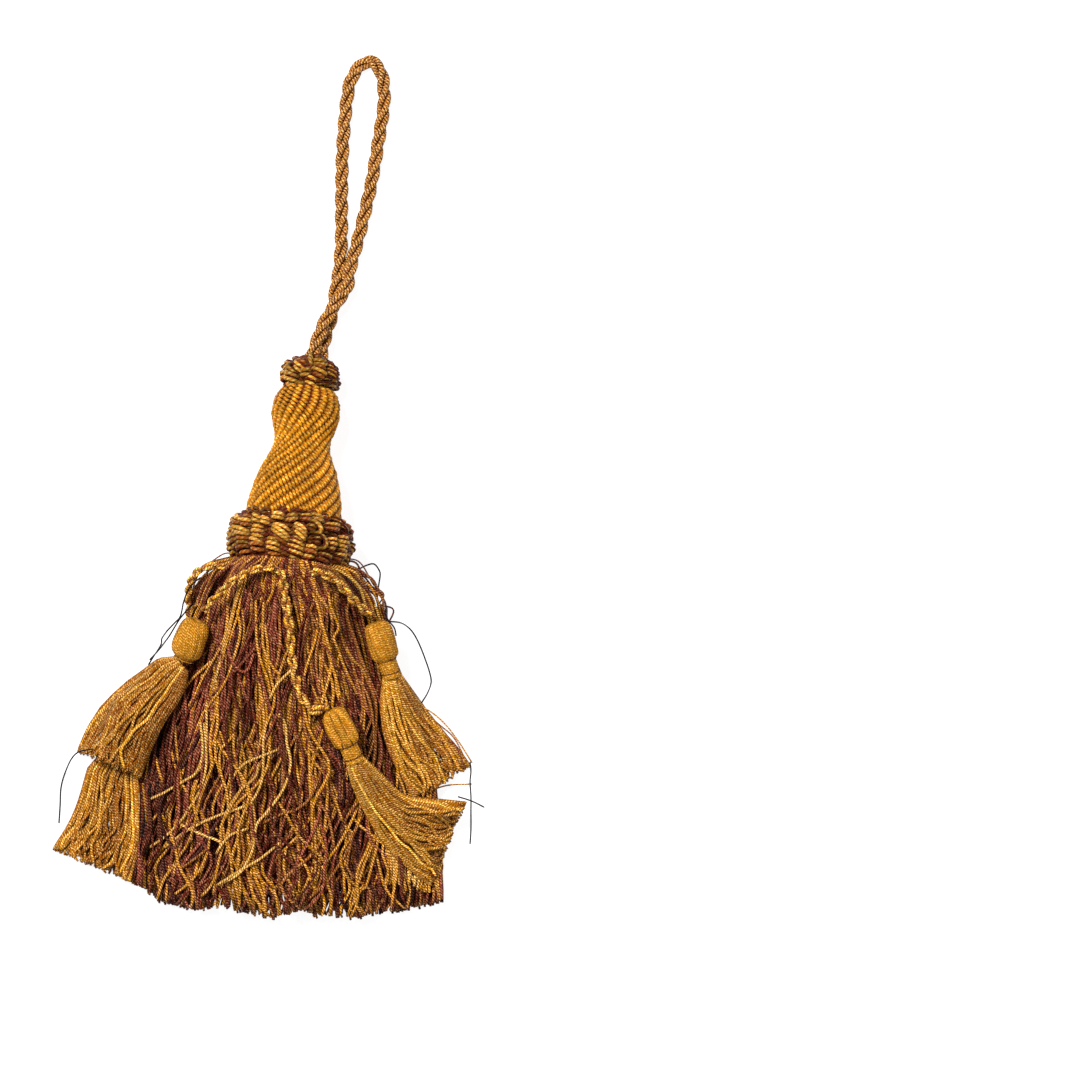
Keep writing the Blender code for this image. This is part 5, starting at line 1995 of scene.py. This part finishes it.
    def build_skirt(self, tops: Array, lows: Array, yarn: Material, rng: Draws) -> None:
        """Draws the cut yarns through the cross sections."""
        count = self.skirt_yarns
        last = tops[-1] + unit(tops[-1] - tops[-2]) * self.tooth * MM
        last[:, 2] = tops[-1][:, 2]
        tops = np.concatenate([tops, last[None]])
        lows = np.concatenate([lows, lows[-1:]])
        share = rng.uniform(-1.0, 1.0, count)
        face = np.arange(self.skirt_faces)
        share[face] = 2.0 * (face + rng.uniform(0.2, 0.8, len(face))) / len(face) - 1.0
        lock = 0.5 + 0.5 * np.cos(self.skirt_locks * share + rng.uniform(0.0, 6.3))[:, None]
        deep = clamped(0.16 + rng.uniform(0.0, 1.0, (count, 1)) * (0.6 + 0.6 * lock))
        deep[face] = 0.1 * lock[face] * rng.uniform(0.0, 1.0, (len(face), 1))
        end = 1.0 - 0.5 * np.abs(rng.normal(0.0, 0.12, count)) - rng.choice([0.0, 0.07], count, p=[0.8, 0.2])
        along = np.linspace(0.0, 1.0, self.skirt_rings)[None] * end[:, None] * (len(tops) - 1)
        wobble = 0.07 * np.sin(along * rng.uniform(0.5, 1.6, (count, 1)) + rng.uniform(0.0, 6.3, (count, 1)))
        wave = along * rng.uniform(2.6, 4.2, (count, 1)) + rng.uniform(0.0, 6.3, (count, 1))
        sideways = np.clip(share[:, None] + (wobble + self.crimp * np.sin(wave)) * along / 4.0, -1.0, 1.0)
        across = (sideways + 1.0) / 2.0 * (tops.shape[1] - 1)
        path = read_grid(tops, along, across)
        low = read_grid(lows[..., None], along, across)[..., 0]
        inside = self.yarn_radius * MM
        path[..., 2] = path[..., 2] - inside - deep * np.maximum(path[..., 2] - low - 2.0 * inside, 0.0)
        palette = np.stack([dye.light for dye in self.skirt_dyes])
        colours = palette[rng.choice(len(palette), count, p=self.skirt_shares)]
        colours = colours * rng.uniform(0.7, 1.25, (count, 1)) * self.skirt_shade
        # Painted shade: the deeper a yarn lies, the darker and redder it is painted.
        colours = colours * (1.0 - self.depth_shade * np.sqrt(deep) * np.array(self.depth_shade_tint))
        joined = JoinedYarns()
        joined.add(path, cut_ends(count, self.skirt_rings, inside, rng), colours)
        name = "yarn_skirt_" + self.name
        publish(name, joined, yarn, "gold_yarn", "small_skirt_" + self.name)

    def build_cord(self, bed: Bed, cord: Material, rng: Draws) -> Array:
        knots = smooth_curve(np.array(self.route) * MM, 5.5 * MM)
        for knot in knots:
            knot[2] = max(knot[2], bed.rest_height(knot[0], knot[1], self.cord_diameter / 2.0 * MM))
        line = smooth_curve(knots, 0.5 * MM)
        joined = JoinedYarns(6)
        for ply, pale in enumerate((Dye.STRAW, Dye.PALE_GOLD)):
            laid = twisted(line[None], self.ply_offset, self.ply_lay, math.pi * ply)
            for strand, dye in enumerate((pale, Dye.TAN)):
                path = twisted(laid, self.strand_offset, self.strand_lay, math.pi * strand)
                joined.add_one(path[0], self.strand_radius * MM, dye, rng, 0.05)
        name = "hanging_cord_" + self.name
        piece = publish(name, joined, cord, "mixed_cord", "hanger_cord_" + self.name)
        declare_cord(line, self.cord_diameter)
        return knots


THICK_CORD = {
    "cord_diameter": 2.9,
    "ply_offset": 0.9,
    "ply_lay": 14.0,
    "strand_radius": 0.6,
    "strand_offset": 0.38,
}

SMALL_TASSELS = (
    SmallTassel(
        "left_lower",
        top=(-40.6, -22.6),
        neck=(-48.2, -40.0),
        rows=table(
            SkirtRow,
            (-53, -48, 8.6, 6), (-54.8, -60, 10.6, 6), (-57, -71, 12.8, 5.6), (-60, -78.8, 14.2, 5.2),
        ),
        route=table(
            RoutePoint,
            (-13, 23.6, 27), (-18.8, 24, 27.4), (-24.2, 21.2, 24), (-26.4, 16.4, 18), (-26.8, 10.6, 11),
            (-26.6, 4.4, 5.6), (-29, -4, 2.6), (-33.4, -12.4, 3.4), (-38.6, -19.2, 6),
        ),
        seed=61,
    ),
    SmallTassel(
        "left",
        top=(-23.3, 4.9),
        neck=(-28.6, -9.4),
        rows=table(
            SkirtRow,
            (-31.6, -12.4, 6.2, 6.2), (-36, -17.6, 8, 6), (-43, -24.8, 9.8, 5.8), (-49.8, -34, 11.4, 5.4),
            (-54, -43.4, 11.8, 5),
        ),
        route=table(
            RoutePoint,
            (3.6, 23.4, 44), (-2.6, 22.8, 42.6), (-9, 20, 39), (-14, 15.8, 34.5), (-18.2, 11.6, 29.6),
            (-21, 8.2, 26.4),
        ),
        seed=62,
        head_length=15.4,
        ties=(13.9,),
    ),
    SmallTassel(
        "right",
        top=(38.8, 4.2),
        neck=(44.2, -13.8),
        rows=table(
            SkirtRow,
            (46.6, -23, 6.2, 6), (50.2, -33, 8.8, 5.8), (55, -41.4, 10.2, 5.4), (59, -46.8, 10.8, 5.2),
            (61, -50.2, 11, 5),
        ),
        route=table(
            RoutePoint,
            (17.4, 22.4, 41.2), (24.4, 19.6, 37.6), (28.6, 15.4, 34), (32.6, 10.6, 29), (36.6, 7.4, 24),
        ),
        seed=63,
        head_girth=0.9,
        skirt_shade=0.92,
        **THICK_CORD,
    ),
    SmallTassel(
        "middle",
        top=(23.8, -26.2),
        neck=(31.4, -43.2),
        rows=table(
            SkirtRow,
            (36.4, -52, 5.6, 6.2), (43.2, -61.6, 7.4, 6.4), (51.4, -67.8, 11.6, 6.2),
            (62, -72.6, 15.2, 5.4),
        ),
        route=table(
            RoutePoint,
            (6.4, 22.4, 44), (7.9, 12.3, 40), (9.1, 3.2, 37), (9.9, -7.4, 34), (11.9, -18, 31),
            (15.6, -25, 29), (19.6, -26.6, 29), (22.4, -24.6, 29.4),
        ),
        seed=64,
        head_girth=0.8,
        splits=(60.0, 118.0),
        skirt_shade=0.88,
        **THICK_CORD,
    ),
)


# ---- Camera, floor and light ----


class Lamp(NamedTuple):
    """A square soft light: its name, its place in metres, its power and its size."""

    name: str
    place: tuple[float, float, float]
    power: float
    size: float


@dataclass(frozen=True)
class CopyStand:
    """A camera straight over the tassel, a white board under it and large soft lights round it."""

    centre: tuple[float, float] = (94.0, 35.3)
    frame_width: float = 374.4
    distance: float = 4.0
    sensor: float = 36.0
    board_size: float = 6.0
    lamps: tuple[Lamp, ...] = (
        Lamp("key", (-0.45, 0.55, 1.35), 40.0, 0.4),
        Lamp("fill", (0.9, -0.4, 1.2), 8.0, 1.0),
    )
    aim: tuple[float, float, float] = (0.0, 0.0, 0.02)
    world_strength: float = 0.24

    def build(self) -> None:
        """Sets up the camera, the board, the lights and the pale surroundings."""
        camera = shown("camera", bpy.data.cameras.new("camera"))
        camera.data.sensor_width = self.sensor
        camera.data.lens = self.sensor * self.distance / (self.frame_width * MM)
        camera.data.clip_end = 50.0
        camera.location = (self.centre[0] * MM, self.centre[1] * MM, self.distance)
        bpy.context.scene.camera = camera

        bm = bmesh.new()
        bmesh.ops.create_grid(bm, x_segments=1, y_segments=1, size=self.board_size / 2.0)
        mesh = bpy.data.meshes.new("board")
        bm.to_mesh(mesh)
        bm.free()
        mesh.materials.append(LightBoard().material())
        shown("board", mesh)

        for lamp in self.lamps:
            light = shown(lamp.name, bpy.data.lights.new(lamp.name, "AREA"))
            light.data.energy = lamp.power
            light.data.size = lamp.size
            light.location = lamp.place
            light.rotation_euler = (Vector(self.aim) - Vector(lamp.place)).to_track_quat("-Z", "Y").to_euler()

        world = bpy.data.worlds.new("pale_room")
        world.use_nodes = True
        sky = world.node_tree.nodes["Background"]
        sky.inputs["Color"].default_value = (1.0, 1.0, 1.0, 1.0)
        sky.inputs["Strength"].default_value = self.world_strength
        bpy.context.scene.world = world
        bpy.context.scene.view_settings.view_transform = "Standard"


def main() -> None:
    """Builds the tassel from its loop down, each piece on the one before."""
    logging.basicConfig(level=logging.INFO, format="%(name)s: %(message)s")
    CopyStand().build()
    # In every yarn finish the crests are painted lighter and the grooves darker, painted light and shade, and
    # the glints are painted highlights.
    # Soft two-ply floss, cut: satin beads with deep grooves between, the warmest of the finishes.
    yarn = RayonYarn("two_ply_rayon_yarn").material()
    # The same floss in gold alone: brighter, yellower beads and shallower grooves.
    gold_yarn = RayonYarn("gold_rayon_yarn", 0.95, 0.12 * MM, 0.52, 1.14, "#FFE89C", 0.62).material()
    # Folded tight over a ball: the pull flattens the beads to a fine grain.
    folded = RayonYarn("folded_rayon_yarn", 0.95, 0.1 * MM, 0.6, 1.06, "#FFDC88", 0.4).material()
    # Fine yarn laid up hard into a cable: small even beads, a dry gloss.
    cable = RayonYarn("fine_rayon_cable_yarn", 1.0, 0.12 * MM, 0.42, 1.1, "#FFE8C0", 0.27).material()
    # Gimp, floss wound over a core: long smooth beads that look almost like metal thread.
    gimp = RayonYarn("wound_rayon_gimp", 1.7, 0.08 * MM, 0.66, 0.94, "#FFE0A0", 0.36, 1.0).material()
    # Thread wound close over the ribs: a nearly smooth satin.
    thread = RayonYarn("wound_rayon_thread", 1.4, 0.08 * MM, 0.7, 0.97, "#FFE09C", 0.22).material()
    # Spun polyester: thin, black and without a glint.
    sewing = RayonYarn("polyester_sewing_thread", crest_height=0.04 * MM, glint=0.0).material()
    # What shows between loose yarns, between the ruffs' cords and between the head's ribs. The packed
    # yarn and the stuffed cord are kept dark as painted shade for those deep gaps.
    packed = PackedYarn("packed_rayon_yarn", "#481E10", "#7C3C20").material()
    stuffed = PackedYarn("stuffed_rayon_cord", "#4C1E10", "#823C1A").material()
    mould = PackedYarn("stained_beech_mould", "#2E170C", "#5A3012").material()

    HangingLoop().build(cable)
    axis = BodyAxis()
    CROWN_RUFF.build(axis, gimp, stuffed)
    Head().build(axis, thread, mould)
    COLLAR_RUFF.build(axis, gimp, stuffed)
    heap = Heap()
    Fringe(heap).build(yarn, packed)
    strays = StrayYarns()
    strays.build_yarns(heap, yarn)
    bed = Bed(heap)
    for tassel in SMALL_TASSELS:
        tassel.build(bed, gold_yarn, folded)
    strays.build_threads(bed, sewing)


if __name__ == "__main__":
    main()
